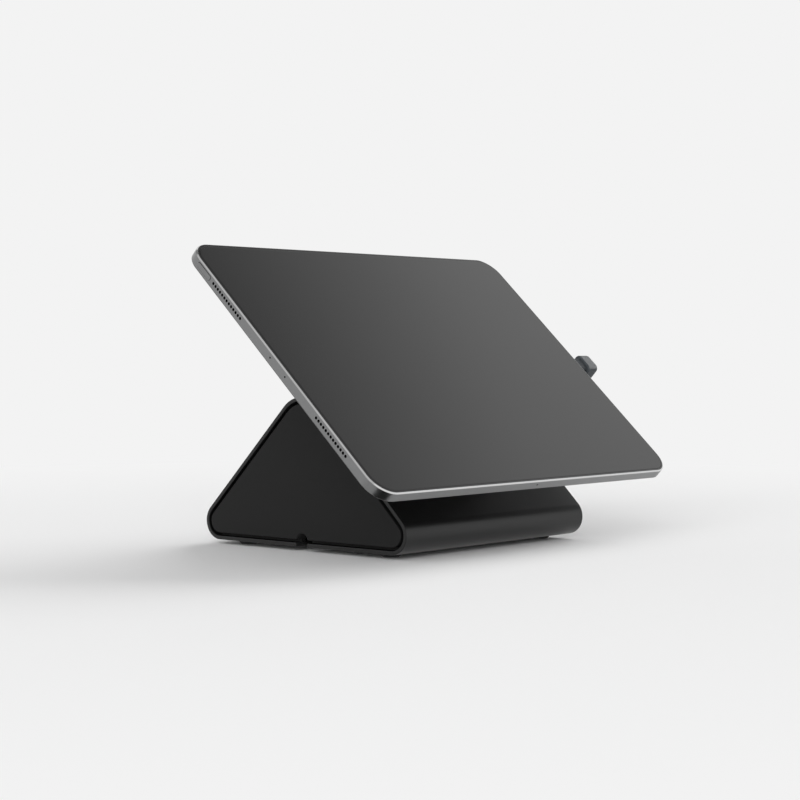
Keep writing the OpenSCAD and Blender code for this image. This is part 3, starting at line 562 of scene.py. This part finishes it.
# Name, dark and light tone, roughness, metal, width of clouds, grain's width and depth, gloss
for row in (
        ("satin_black_shell", grey(0.005), grey(0.007), (0.3, 0.36), 0, 30, 0.4, 0.006, 0.38),
        ("matte_black_cover", grey(0.008), grey(0.01), (0.55, 0.65), 0, 25, 0.5, 0.02, 0.17),
        ("black_rubber", grey(0.013), grey(0.018), (0.62, 0.78), 0, 12, 0.6, 0.02, 0.35),
        ("ballast_steel", grey(0.3), grey(0.36), (0.4, 0.55), 1, 30, 0.8, 0.02, 0.5),
        ("black_screws", grey(0.02), grey(0.028), (0.28, 0.4), 0.6, 5, 0.25, 0.004, 0.5),
        ("bright_steel", grey(0.5, 0.01), grey(0.58, 0.01), (0.22, 0.34), 1, 8, 0.25, 0.004, 0.5),
        ("module_plastic", grey(0.03), grey(0.04), (0.5, 0.6), 0, 25, 0.6, 0.02, 0.5),
        ("black_casting", grey(0.014), grey(0.02), (0.42, 0.54), 0, 18, 0.8, 0.03, 0.5),
        ("washer_brass", (0.5, 0.32, 0.12, 1), (0.58, 0.4, 0.17, 1), (0.25, 0.4), 1,
         6, 0.3, 0.005, 0.5),
        ("black_plate", grey(0.015), grey(0.02), (0.44, 0.54), 0, 25, 0.6, 0.02, 0.5),
        ("adhesive_foam", grey(0.07), grey(0.1), (0.8, 0.9), 0, 6, 0.7, 0.08, 0.2),
        ("grey_aluminium", grey(0.23, -0.006), grey(0.245, -0.006), (0.29, 0.34), 1,
         50, 0.22, 0.003, 0.5),
        # Painted shade for the left rear edge of the tablet.
        ("rear_edge_painted_shade", grey(0.07), grey(0.09), (0.3, 0.36), 1, 30, 0.22, 0.003, 0.5),
        ("polished_chamfer", grey(0.66), grey(0.71), (0.12, 0.16), 1, 30, 0.3, 0, 0.5),
        # Painted shade: near-black walls for holes and slots, also the black flag's disc.
        ("painted_shade_black", grey(0.003), grey(0.006), (0.8, 0.9), 0, 3, 0.3, 0.01, 0.1),
        ("block_aluminium", grey(0.12, -0.03), grey(0.14, -0.03), (0.46, 0.54), 0,
         12, 0.22, 0.004, 0.35),
        # Painted shade for the block's end and underside.
        ("block_painted_shade", grey(0.05, -0.1), grey(0.06, -0.1), (0.5, 0.6), 0, 8, 0.3, 0.01, 0.2),
        ("black_glass", grey(0.003), grey(0.004), (0.015, 0.04), 0, 60, 0.35, 0, 0.5),
        ("panel_plastic", grey(0.012), grey(0.016), (0.3, 0.4), 0, 40, 0.5, 0.004, 0.5),
        ("cell_wrap", grey(0.04), grey(0.055), (0.35, 0.5), 0, 25, 1.2, 0.02, 0.5),
        ("board_laminate", (0.01, 0.05, 0.03, 1), (0.015, 0.07, 0.045, 1), (0.35, 0.45), 0,
         8, 0.5, 0.01, 0.5),
        ("speaker_plastic", grey(0.02), grey(0.03), (0.5, 0.6), 0, 10, 0.5, 0.01, 0.5),
        ("plug_plastic", grey(0.04, -0.1), grey(0.05, -0.1), (0.45, 0.55), 0, 8, 0.4, 0.01, 0.25)):
    shader = finish(*row)
    if row[0] == "black_glass":
        shader.inputs["IOR"].default_value = GLASS_IOR


# Base: extruded body, end covers, feet, grommet and the screws under its floor

body_low, body_high = span("body_shell", ROW)
end_x = body_high[0]
underside = body_low[2]
corner_y, corner_z = body_high[1] - CORNER_R, underside + CORNER_R
ridge_z = body_high[2] - RIDGE_R


def base_outline(inset):
    """Arcs about the lower corners and the ridge, less the inset, joined by floor and slopes."""
    return np.vstack([arc(corner_y, corner_z, CORNER_R - inset, -90, 45),
                      arc(0, ridge_z, RIDGE_R - inset, 45, 135),
                      arc(-corner_y, corner_z, CORNER_R - inset, 135, 270)])


def outlet_outline(inset, radius):
    """The base outline with the cable outlet's arch let into its floor."""
    rise = math.degrees(math.asin((underside + inset - OUTLET_Z) / radius))
    return np.vstack([base_outline(inset), arc(0, OUTLET_Z, radius, 180 - rise, rise)])


def outlet_tool():
    """A round arch with straight sides, open below, at both ends of the base."""
    arch = np.vstack([[(OUTLET_R, 0), (OUTLET_R, OUTLET_Z)],
                      arc(0, OUTLET_Z, OUTLET_R, 0, 180)[1:], [(-OUTLET_R, 0)]])
    runs = ((-end_x - OVERRUN, OUTLET_DEPTH - end_x), (end_x - OUTLET_DEPTH, end_x + OVERRUN))
    return [bar(ALONG_BASE, arch, *run) for run in runs]


floor_screws = [(*(low + high)[:2] / 2,) for node in ("cover_screws", "ballast_screws")
                for low, high in quarters(node, UNDER_BASE)]
grommet_low, grommet_high = span("cable_grommet", ON_SLOPE)
grommet_u, grommet_v = ((grommet_low + grommet_high) / 2)[:2]
grommet_out = grommet_high[2] - GROMMET_LIP

wall_loop = eased([(0, -end_x), (0, end_x), (WALL, end_x), (WALL, -end_x)],
                  [RIM_EASE] * 4, closed=True)
extrusion = raw_object("extruded_body",
                       skin(moulded(base_outline, wall_loop), ALONG_BASE, closed=True))
screw_holes = [bored(UNDER_BASE, u, v, SCREW_HOLE_R, -underside - 2 * WALL, WALL - underside)
               for u, v in floor_screws]
carved(extrusion, *outlet_tool(), *screw_holes,
       bored(ON_SLOPE, grommet_u, grommet_v, GROMMET_HOLE_R,
             grommet_out - 2 * WALL, grommet_out + WALL))
dress(extrusion, "body_shell")


def end_cover(name, node, side):
    """The cover's face, groove side and flange, carried along X, with its two fixing lugs."""
    face = eased([(COVER_INSET + FACE_RUN, 0), (COVER_INSET, 0), (COVER_INSET, GROOVE_DEPTH)],
                 [COVER_EASE])
    rows = [(inset, OUTLET_R + inset - COVER_INSET, depth) for inset, depth in face[1:]]
    rows += [(FLANGE_INSET, OUTLET_R, depth) for depth in (GROOVE_DEPTH, GROOVE_DEPTH + FLANGE_T)]
    rings = np.stack([level(outlet_outline(inset, radius), side * (end_x - depth))
                      for inset, radius, depth in rows])
    cover = raw_object(name, skin(rings, ALONG_BASE))
    lug_from = end_x - GROOVE_DEPTH - FLANGE_T
    lug_ends = sorted((side * (lug_from + LUG_SINK), side * (lug_from - LUG_LENGTH)))
    lug_low = WALL + underside + LUG_GAP
    holes = [(u, v) for u, v in floor_screws if u * side > lug_from - LUG_LENGTH]
    lugs = [block(ROW, (lug_ends[0], -v - LUG_WIDTH / 2, lug_low),
                  (lug_ends[1], -v + LUG_WIDTH / 2, lug_low + LUG_WIDTH)) for u, v in holes]
    carved(cover, *lugs, operation="UNION")
    hole_end = LUG_ROOF - underside - WALL - LUG_WIDTH
    carved(cover, *[bored(UNDER_BASE, u, v, LUG_HOLE_R, hole_end, 0) for u, v in holes])
    return dress(cover, node)


end_cover("left_cover_moulding", "left_end_cover", -1)
end_cover("right_cover_moulding", "right_end_cover", 1)

foot_shapes = []
for low, high in quarters("rubber_feet", UNDER_BASE):
    foot_r, foot_h = (high - low)[0] / 2, (high - low)[2]
    foot_profile = eased([(foot_r, 0), (foot_r, foot_h), (FOOT_MIDDLE_R, foot_h)], [FOOT_LIP])
    foot_place = UNDER_BASE.at(*((low + high) / 2)[:2], low[2])
    foot_shapes.append(skin(turned(foot_profile), foot_place))
dress(raw_object("foot_set", *foot_shapes), "rubber_feet")

grommet_r = (grommet_high - grommet_low)[0] / 2
grommet_loop = eased(
    [(GROMMET_BORE_R, -WALL - GROMMET_LIP), (grommet_r, -WALL - GROMMET_LIP), (grommet_r, -WALL),
     (GROMMET_NECK_R, -WALL), (GROMMET_NECK_R, 0), (grommet_r, 0), (grommet_r, GROMMET_LIP),
     (GROMMET_BORE_R, GROMMET_LIP)], GROMMET_EASES, closed=True)
grommet_place = ON_SLOPE.at(grommet_u, grommet_v, grommet_out)
dress(raw_object("slope_grommet", skin(turned(grommet_loop), grommet_place, closed=True)),
      "cable_grommet")


def screw(place, low, high):
    """Hexagon drive, rounded head and shank with a tapered tip: rings from the drive's floor."""
    head_r = (high - low)[0] / 2
    shank_r = head_r / HEAD_RATIO
    top, tip = high[2], low[2]
    drive = hexagon(2 * shank_r)
    outside = eased([(head_r - HEAD_TOP, top), (head_r, top), (head_r, top - HEAD_H),
                     (shank_r, top - HEAD_H), (shank_r, tip + SCREW_TIP),
                     (shank_r - SCREW_TIP, tip)], HEAD_EASES)
    rings = np.concatenate([[level(drive, top - DRIVE_DEPTH), level(drive, top)], turned(outside)])
    return skin(rings, place.at(*((low + high) / 2)[:2], 0))


for name, node, place in (("cover_screw_set", "cover_screws", UNDER_BASE),
                          ("ballast_screw_set", "ballast_screws", UNDER_BASE),
                          ("knuckle_screw_set", "knuckle_screws", BEHIND),
                          ("guide_screw_set", "guide_screws", BEHIND)):
    dress(raw_object(name, *[screw(place, *box) for box in quarters(node, place)]), node)
for name, node in (("slide_lock_screw", "arm_lock_screw"), ("block_fixing_screw", "block_screw")):
    dress(raw_object(name, screw(BEHIND, *span(node, BEHIND))), node)


# Hinge on the ridge, and the arm's guide

for name, node, width in (("saddle_casting", "hinge_saddle", CASTING_EASE),
                          ("knuckle_casting", "hinge_knuckle", CASTING_EASE),
                          ("stop_buffers", "stop_pads", BUFFER_EASE),
                          ("guide_bracket", "arm_guide", ARM_EASE),
                          ("slide_arm", "connector_arm", ARM_EASE)):
    dress(raw_object(name, cad_shape(node), flatten=True), node, bevel=width)

shaft_low, shaft_high = span("hinge_shaft", ALONG_SHAFT)
shaft_head, shaft_tail, head_r = shaft_low[2], shaft_high[2], shaft_high[0]
turns = np.arange(2 * THREAD_TURNS) / 2
thread = np.column_stack([SHAFT_R - THREAD_DEPTH * (np.arange(2 * THREAD_TURNS) % 2),
                          shaft_tail - SHAFT_TIP + (turns - turns[-1]) * THREAD_PITCH])
shaft_profile = np.vstack([
    eased([(head_r - SHAFT_HEAD_TOP, shaft_head), (head_r, shaft_head),
           (head_r, shaft_head + SHAFT_HEAD_L), (SHAFT_R, shaft_head + SHAFT_HEAD_L)],
          SHAFT_HEAD_EASES),
    thread, [(SHAFT_R - SHAFT_TIP, shaft_tail)]])
drive = hexagon(SHAFT_DRIVE)
shaft_rings = np.concatenate([
    [level(drive, shaft_head + SHAFT_DRIVE_DEPTH), level(drive, shaft_head)],
    turned(shaft_profile)])
dress(raw_object("shaft_bolt", skin(shaft_rings, ALONG_SHAFT)), "hinge_shaft")

nut_low, nut_high = span("hinge_nut", ALONG_SHAFT)
nut_corners = 2 * max(nut_high[:2])
nut_bore = circle(BORE_R)
nut_face = circle(nut_corners / 2 * math.cos(math.pi / 6) - NUT_FACE)
nut_side = hexagon(nut_corners)
nut_rings = np.stack([
    level(nut_bore, nut_low[2]), level(nut_face, nut_low[2]),
    level(nut_side, nut_low[2] + NUT_BEVEL), level(nut_side, nut_high[2] - NUT_BEVEL),
    level(nut_face, nut_high[2]), level(nut_bore, nut_high[2])])
dress(raw_object("shaft_nut", skin(nut_rings, ALONG_SHAFT, closed=True)), "hinge_nut")

spring_low, spring_high = span("disc_springs", ALONG_SHAFT)
spring_bore, spring_r = BORE_R + SPRING_GAP, spring_high[0]
cone = np.array([(spring_bore, 0), (spring_r, SPRING_CONE),
                 (spring_r, SPRING_CONE + SPRING_T), (spring_bore, SPRING_T)])
springs = [skin(turned(cone * (1, facing) + (0, start)), ALONG_SHAFT, closed=True)
           for facing, start in ((1, spring_low[2]), (-1, spring_high[2]))]
dress(raw_object("spring_pair", *springs), "disc_springs")

washer_r = span("friction_washers", ALONG_SHAFT)[1][0]
washer_x = np.abs(ALONG_SHAFT.into(node_points("friction_washers"))[:, 2])
washer_near, washer_far = washer_x.min(), washer_x.max()
washer_loop = eased([(BORE_R, washer_near), (washer_r, washer_near), (washer_r, washer_far),
                     (BORE_R, washer_far)], [WASHER_EASE] * 4, closed=True)
washers = [skin(turned(washer_loop * (1, side)), ALONG_SHAFT, closed=True) for side in (-1, 1)]
dress(raw_object("washer_pair", *washers), "friction_washers")


# Mount plate and bond pad behind the tablet

def slab(name, node, radius, ease):
    """A rounded rectangle with eased edges, as high and wide as its CAD node."""
    low, high = span(node, ON_FACE)
    width, height = (high - low)[:2]
    inner = ease + CAP_INSET
    profile = eased([(inner, low[2]), (0, low[2]), (0, high[2]), (inner, high[2])], [ease, ease])
    rings = moulded(inset_rect(width, height, radius), profile)
    middle = (low + high) / 2
    return dress(raw_object(name, skin(rings, ON_FACE.at(middle[0], middle[1], 0))), node)


slab("back_plate", "mount_plate", PLATE_R, PLATE_EASE)
slab("bond_pad", "adhesive_pad", PAD_R, PAD_EASE)


# Tablet: tray, glass, keys and camera

tray_low, tray_high = span("tablet_housing", ON_FACE)
tray_w, tray_h = (tray_high - tray_low)[:2]
tray_back = tray_low[2]
plug_mid = tray_back / 2 - RIM_DROP
button_low, button_high = span("top_button", ON_FACE)
row_mid = (button_low + button_high)[2] / 2
half_w, half_h = tray_w / 2, tray_h / 2
chamfer_foot = (0, -RIM_DROP - CHAMFER)
tray_profile = eased(
    [(TRAY_INSET, tray_back), (0, tray_back), chamfer_foot, (CHAMFER, -RIM_DROP),
     (RIM_LIP, -RIM_DROP), (RIM_W, -RIM_DROP), (RIM_W, -GLASS_T), (SIDE_T, -GLASS_T),
     (SIDE_T, tray_back + BACK_T), (TRAY_INSET, tray_back + BACK_T)],
    [BACK_ROUND, 0, 0, 0, 0, 0, 0, 0])
chamfer_band = int(np.argmin(np.abs(tray_profile - chamfer_foot).sum(1)))
tray_tones = np.zeros(len(tray_profile) - 1, int)
tray_tones[chamfer_band:chamfer_band + 2] = BRIGHT
tray_tones[chamfer_band + 2] = GASKET
tray_rings = moulded(inset_rect(tray_w, tray_h, TABLET_R), tray_profile)

sound_v = (np.arange(SOUND_HOLES) - (SOUND_HOLES - 1) / 2) * SOUND_PITCH
sound_v = np.concatenate([sound_v - SOUND_ROW, sound_v + SOUND_ROW])
inside, outside = half_w - SIDE_T - OVERRUN, half_w + OVERRUN
# The hole cutters carry painted shade onto the walls they leave.
edge_cuts = [bored(LEFT_EDGE, row_mid, v, SOUND_R, inside, outside, HOLE_SHADE) for v in sound_v]
edge_cuts += [bored(RIGHT_EDGE, v, row_mid, SOUND_R, inside, outside, HOLE_SHADE) for v in sound_v]
edge_cuts += [bored(LEFT_EDGE, row_mid, v, MIC_R, inside, outside, HOLE_SHADE) for v in (-MIC_V, MIC_V)]
edge_cuts.append(bored(LOWER_EDGE, 0, row_mid, MIC_R,
                       half_h - SIDE_T - OVERRUN, half_h + OVERRUN, HOLE_SHADE))


def edge_key(name, node, place, reach):
    """A pill-shaped key with eased edges and a flange inside, and the pill that cuts its slot,
    whose walls take painted shade.
    """
    low, high = span(node, place)
    middle = (low + high) / 2
    flange_top = low[2] + KEY_FLANGE_T
    width, length = (high - low)[:2] - (0, KEY_FLANGE)
    top = eased([(FACE_RUN, high[2]), (0, high[2]), (0, flange_top)], [KEY_EASE])[1:]
    rings = [level(pill(width - 2 * inset, length - 2 * inset), height) for inset, height in top]
    rings += [level(pill(width, length + KEY_FLANGE), height) for height in (flange_top, low[2])]
    here = place.at(middle[0], middle[1], 0)
    dress(raw_object(name, skin(np.stack(rings), here)), node)
    slot = pill(width + 2 * KEY_GAP, length + 2 * KEY_GAP)
    return bar(here, slot, reach - SIDE_T - OVERRUN, reach + OVERRUN, HOLE_SHADE)


edge_cuts.append(edge_key("edge_button", "top_button", LEFT_EDGE, half_w))
edge_cuts.append(edge_key("volume_key_up", "volume_up_button", UPPER_EDGE, half_h))
edge_cuts.append(edge_key("volume_key_down", "volume_down_button", UPPER_EDGE, half_h))

shell_low, shell_high = span("plug_shell", RIGHT_EDGE)
plug_w, plug_h = (shell_high - shell_low)[:2]
plug_place = RIGHT_EDGE.at(0, plug_mid, 0)
plug_outline = inset_pill(plug_h, plug_w)
# The port's cut walls take the same painted shade.
edge_cuts.append(bar(plug_place, plug_outline(-PORT_GAP), inside, outside, HOLE_SHADE))

tray = raw_object("tablet_tray", skin(tray_rings, ON_FACE, band_tones=tray_tones))
carved(tray, *edge_cuts, tones=TRAY_FINISHES)
# Painted shade: faces turned left and back, along the rear edge, take the darker metal.
toned_side(tray, -(x_axis + face_out) / math.sqrt(2), SHADED, REAR_EDGE_LEAST)
dress(tray, "tablet_housing")

glass_w, glass_h = (glass_high - glass_low)[:2]
glass_profile = eased([(GLASS_INSETS[0], -GLASS_T), (0, -GLASS_T), (0, 0), (GLASS_INSETS[1], 0)],
                      GLASS_EASES)
glass_rings = moulded(inset_rect(glass_w, glass_h, GLASS_R), glass_profile)
dress(raw_object("front_glass", skin(glass_rings, ON_FACE)), "cover_glass")

ring_low, ring_high = span("camera_ring", BEHIND)
lens_low, lens_high = span("camera_lens", BEHIND)
lens_place = BEHIND.at(*((ring_low + ring_high) / 2)[:2], 0)
ring_r, lens_r = (ring_high - ring_low)[0] / 2, (lens_high - lens_low)[0] / 2
ring_loop = eased([(lens_r, ring_low[2]), (ring_r, ring_low[2]), (ring_r, ring_high[2]),
                   (lens_r, ring_high[2])], CAMERA_RING_EASES, closed=True)
dress(raw_object("camera_bezel", skin(turned(ring_loop), lens_place, closed=True)), "camera_ring")
lens_profile = [(lens_r, lens_low[2]), (lens_r, lens_high[2]), (lens_r - LENS_RIM, lens_high[2]),
                (LENS_MIDDLE_R, lens_high[2])]
dress(raw_object("camera_window", skin(turned(lens_profile), lens_place)), "camera_lens")


# Connector: block on the slide arm, with the plug that it holds

block_low, block_high = span("plug_block", RIGHT_EDGE)
block_w, block_t = (block_high - block_low)[:2]
block_profile = eased([(BLOCK_INSET, block_low[2]), (0, block_low[2]), (0, block_high[2]),
                       (BLOCK_INSET, block_high[2])], BLOCK_EASE)
block_rings = moulded(inset_rect(block_w, block_t, BLOCK_R), block_profile)
block_mid = (block_low + block_high) / 2
# Painted shade: the block's end towards the tablet and its eased edge take the darker finish.
block_tones = np.zeros(len(block_rings) - 1, int)
block_tones[:EASE_STEPS] = BLOCK_SHADE
block_shape = skin(block_rings, RIGHT_EDGE.at(block_mid[0], block_mid[1], 0),
                   band_tones=block_tones, first_tone=BLOCK_SHADE)
plug_holder = raw_object("plug_holder", block_shape)
seat_top = span("connector_arm", RIGHT_EDGE)[1][1]
seat_end = block_low[2] + ARM_SEAT
lead_x = (seat_end + block_high[2]) / 2
carved(plug_holder,
       block(RIGHT_EDGE, (-block_w, block_low[1] - OVERRUN, block_low[2] - OVERRUN),
             (block_w, seat_top, seat_end)),
       bored(BEHIND, lead_x, 0, LEAD_BORE_R,
             -block_low[1] - LEAD_BORE_DEPTH, -block_low[1] + OVERRUN),
       tones=BLOCK_FINISHES)
# Painted shade: faces turned down take the darker finish too.
toned_side(plug_holder, -face_up, BLOCK_SHADE, BLOCK_SIDE_LEAST)
dress(plug_holder, "plug_block")

neck_low, neck_high = span("plug_body", RIGHT_EDGE)
neck_w, neck_h = (neck_high - neck_low)[:2]
neck_profile = eased([(FACE_RUN, neck_low[2]), (0, neck_low[2]), (0, neck_high[2])],
                     [NECK_EASE])[1:]
neck_rings = moulded(inset_pill(neck_h, neck_w), neck_profile)
dress(raw_object("plug_neck", skin(neck_rings, plug_place)), "plug_body")

tip_profile = np.vstack([
    [(PLUG_WALL, shell_low[2] + PLUG_MOUTH)],
    eased([(PLUG_WALL, shell_low[2]), (0, shell_low[2]), (0, shell_high[2])], [PLUG_EASE])])
tip_rings = moulded(plug_outline, tip_profile)
dress(raw_object("plug_tip", skin(tip_rings, plug_place)), "plug_shell")


# CAD nodes that keep their own shape

for node, solid in frame["nodes"].items():
    if not solid.hide_render:
        solid.data.materials.clear()
        solid.data.materials.append(finishes[slots[node]])


# Camera, light and floor

CAMERA_AT = (-785.6, -678.85, 104.5)
CAMERA_TURN = math.radians(49.275)
CAMERA_DROP = math.radians(1.51)
CAMERA_LENS = 85.54
CAMERA_CLIP = (0.05, 50)
SENSOR = 36
BACKDROP = 0.896
AMBIENT = 0.47
DARKEST_SKY = 0.22
SKY_SLOPE = (0, 0.94, -5.42)
SKY_START = 4.19
SKY_BLEND = 0.16
PANEL_FROM = Vector((-0.46, -0.18, 0.87)).normalized()
PANEL_EDGE = (math.cos(math.radians(46)), math.cos(math.radians(26)))
PANEL_TONE = 0.62
KEY_SPREAD = math.radians(64)
KEYS = (("right_key", 0, 15, 3.5), ("left_key", 205, 10, 3.0))
FLOOR_HALF = 3000
FLOOR_T = 6
FLOOR_TONE = 0.86
FLOOR_ROUGHNESS = 0.9
FLOOR_SPECULAR = 0.1
FLOOR_FADE = (0.25, 0.75)
FLOOR_IN_GLOSS = 0.2
FLAG_AT = (-129, -106)
FLAG_R = 26
FLAG_T = 0.5

scene = bpy.context.scene
camera_data = bpy.data.cameras.new("photo_camera")
camera_data.lens, camera_data.sensor_width = CAMERA_LENS, SENSOR
camera_data.sensor_fit = "HORIZONTAL"
camera_data.clip_start, camera_data.clip_end = CAMERA_CLIP
photo_camera = bpy.data.objects.new("photo_camera", camera_data)
photo_camera.location = Vector(CAMERA_AT) * MM
looking = Vector((math.sin(CAMERA_TURN) * math.cos(CAMERA_DROP),
                  math.cos(CAMERA_TURN) * math.cos(CAMERA_DROP), -math.sin(CAMERA_DROP)))
photo_camera.rotation_mode = "QUATERNION"
photo_camera.rotation_quaternion = looking.to_track_quat("-Z", "Y")
scene.collection.objects.link(photo_camera)
scene.camera = photo_camera
scene.view_settings.view_transform = "Standard"


def seen_directly(tree):
    """1 on rays from the camera, from gloss and through glass, 0 on rays that gather soft light."""
    path = tree.nodes.new("ShaderNodeLightPath").outputs
    seen = math_node(tree, "MAXIMUM", path["Is Camera Ray"], path["Is Glossy Ray"])
    return math_node(tree, "MAXIMUM", seen, path["Is Transmission Ray"])


def along(tree, coords, direction):
    """The dot product of the direction looked in and a fixed one."""
    node = tree.nodes.new("ShaderNodeVectorMath")
    node.operation = "DOT_PRODUCT"
    node.inputs[1].default_value = direction
    tree.links.new(coords.outputs["Generated"], node.inputs[0])
    return node.outputs["Value"]


def soft_step(tree, value, ends, top):
    """A smooth rise from 0 to the top as the value goes from one end to the other."""
    node = tree.nodes.new("ShaderNodeMapRange")
    node.interpolation_type = "SMOOTHSTEP"
    node.inputs["From Min"].default_value, node.inputs["From Max"].default_value = ends
    node.inputs["To Max"].default_value = top
    tree.links.new(value, node.inputs["Value"])
    return node.outputs["Result"]


def mixed(tree, share, first, second):
    """Two shaders, with the second one's share."""
    node = tree.nodes.new("ShaderNodeMixShader")
    for socket, value in zip(node.inputs, (share, first, second)):
        tree.links.new(value, socket)
    return node.outputs["Shader"]


def studio_world():
    """A pale studio, even near the horizon and darker overhead along a slope, with one soft panel.

    What gathers soft light sees an even tone instead.
    """
    world = bpy.data.worlds.new("studio")
    world.use_nodes = True
    tree = world.node_tree
    tree.nodes.clear()
    coords = tree.nodes.new("ShaderNodeTexCoord")
    sky = math_node(tree, "ADD", along(tree, coords, SKY_SLOPE), SKY_START)
    sky = math_node(tree, "SMOOTH_MIN", sky, BACKDROP, SKY_BLEND)
    sky = math_node(tree, "SMOOTH_MAX", sky, DARKEST_SKY, SKY_BLEND)
    panel = soft_step(tree, along(tree, coords, PANEL_FROM), PANEL_EDGE, PANEL_TONE)
    shown, soft = [tree.nodes.new("ShaderNodeBackground") for _ in range(2)]
    tree.links.new(math_node(tree, "MAXIMUM", sky, panel), shown.inputs["Color"])
    soft.inputs["Color"].default_value = grey(AMBIENT)
    surface = mixed(tree, seen_directly(tree), soft.outputs["Background"],
                    shown.outputs["Background"])
    tree.links.new(surface, tree.nodes.new("ShaderNodeOutputWorld").inputs["Surface"])
    scene.world = world


def studio_floor():
    """A pale floor that takes the shadow, which gloss sees in part, and fades into the backdrop."""
    floor = raw_object("floor", block(ROW, (-FLOOR_HALF, -FLOOR_HALF, -FLOOR_T),
                                      (FLOOR_HALF, FLOOR_HALF, 0)))
    material = bpy.data.materials.new("pale_floor")
    material.use_nodes = True
    tree = material.node_tree
    shader = tree.nodes["Principled BSDF"]
    shader.inputs["Base Color"].default_value = grey(FLOOR_TONE)
    shader.inputs["Roughness"].default_value = FLOOR_ROUGHNESS
    shader.inputs["Specular IOR Level"].default_value = FLOOR_SPECULAR
    away = tree.nodes.new("ShaderNodeVectorMath")
    away.operation = "LENGTH"
    tree.links.new(tree.nodes.new("ShaderNodeTexCoord").outputs["Object"], away.inputs[0])
    fade = soft_step(tree, away.outputs["Value"], FLOOR_FADE, 1)
    share = math_node(tree, "MULTIPLY", fade, seen_directly(tree))
    gloss = tree.nodes.new("ShaderNodeLightPath").outputs["Is Glossy Ray"]
    paler = math_node(tree, "MAXIMUM", share, math_node(tree, "MULTIPLY", gloss, FLOOR_IN_GLOSS))
    glow = tree.nodes.new("ShaderNodeEmission")
    glow.inputs["Color"].default_value = grey(BACKDROP)
    surface = mixed(tree, paler, shader.outputs["BSDF"], glow.outputs["Emission"])
    tree.links.new(surface, tree.nodes["Material Output"].inputs["Surface"])
    floor.data.materials.append(material)


def black_flag():
    """A black disc that only gloss sees: its image is the dark line on the tablet's near corner."""
    disc = skin(turned([(FLAG_R, 0), (FLAG_R, FLAG_T)]), ROW.at(*FLAG_AT, 0))
    flag = raw_object("black_flag", disc)
    flag.data.materials.append(finishes["painted_shade_black"])
    flag.visible_camera = flag.visible_diffuse = False
    flag.visible_transmission = flag.visible_shadow = False


def soft_key(name, azimuth, elevation, power):
    """One wide soft light: azimuth turns from +X towards +Y, in degrees."""
    turn, rise = math.radians(azimuth), math.radians(elevation)
    source = Vector((math.cos(turn) * math.cos(rise), math.sin(turn) * math.cos(rise),
                     math.sin(rise)))
    light = bpy.data.lights.new(name, "SUN")
    light.angle, light.energy = KEY_SPREAD, power
    lamp = bpy.data.objects.new(name, light)
    lamp.location = source
    lamp.rotation_mode = "QUATERNION"
    lamp.rotation_quaternion = (-source).to_track_quat("-Z", "Y")
    lamp.visible_glossy = False
    scene.collection.objects.link(lamp)


studio_world()
studio_floor()
black_flag()
for key in KEYS:
    soft_key(*key)
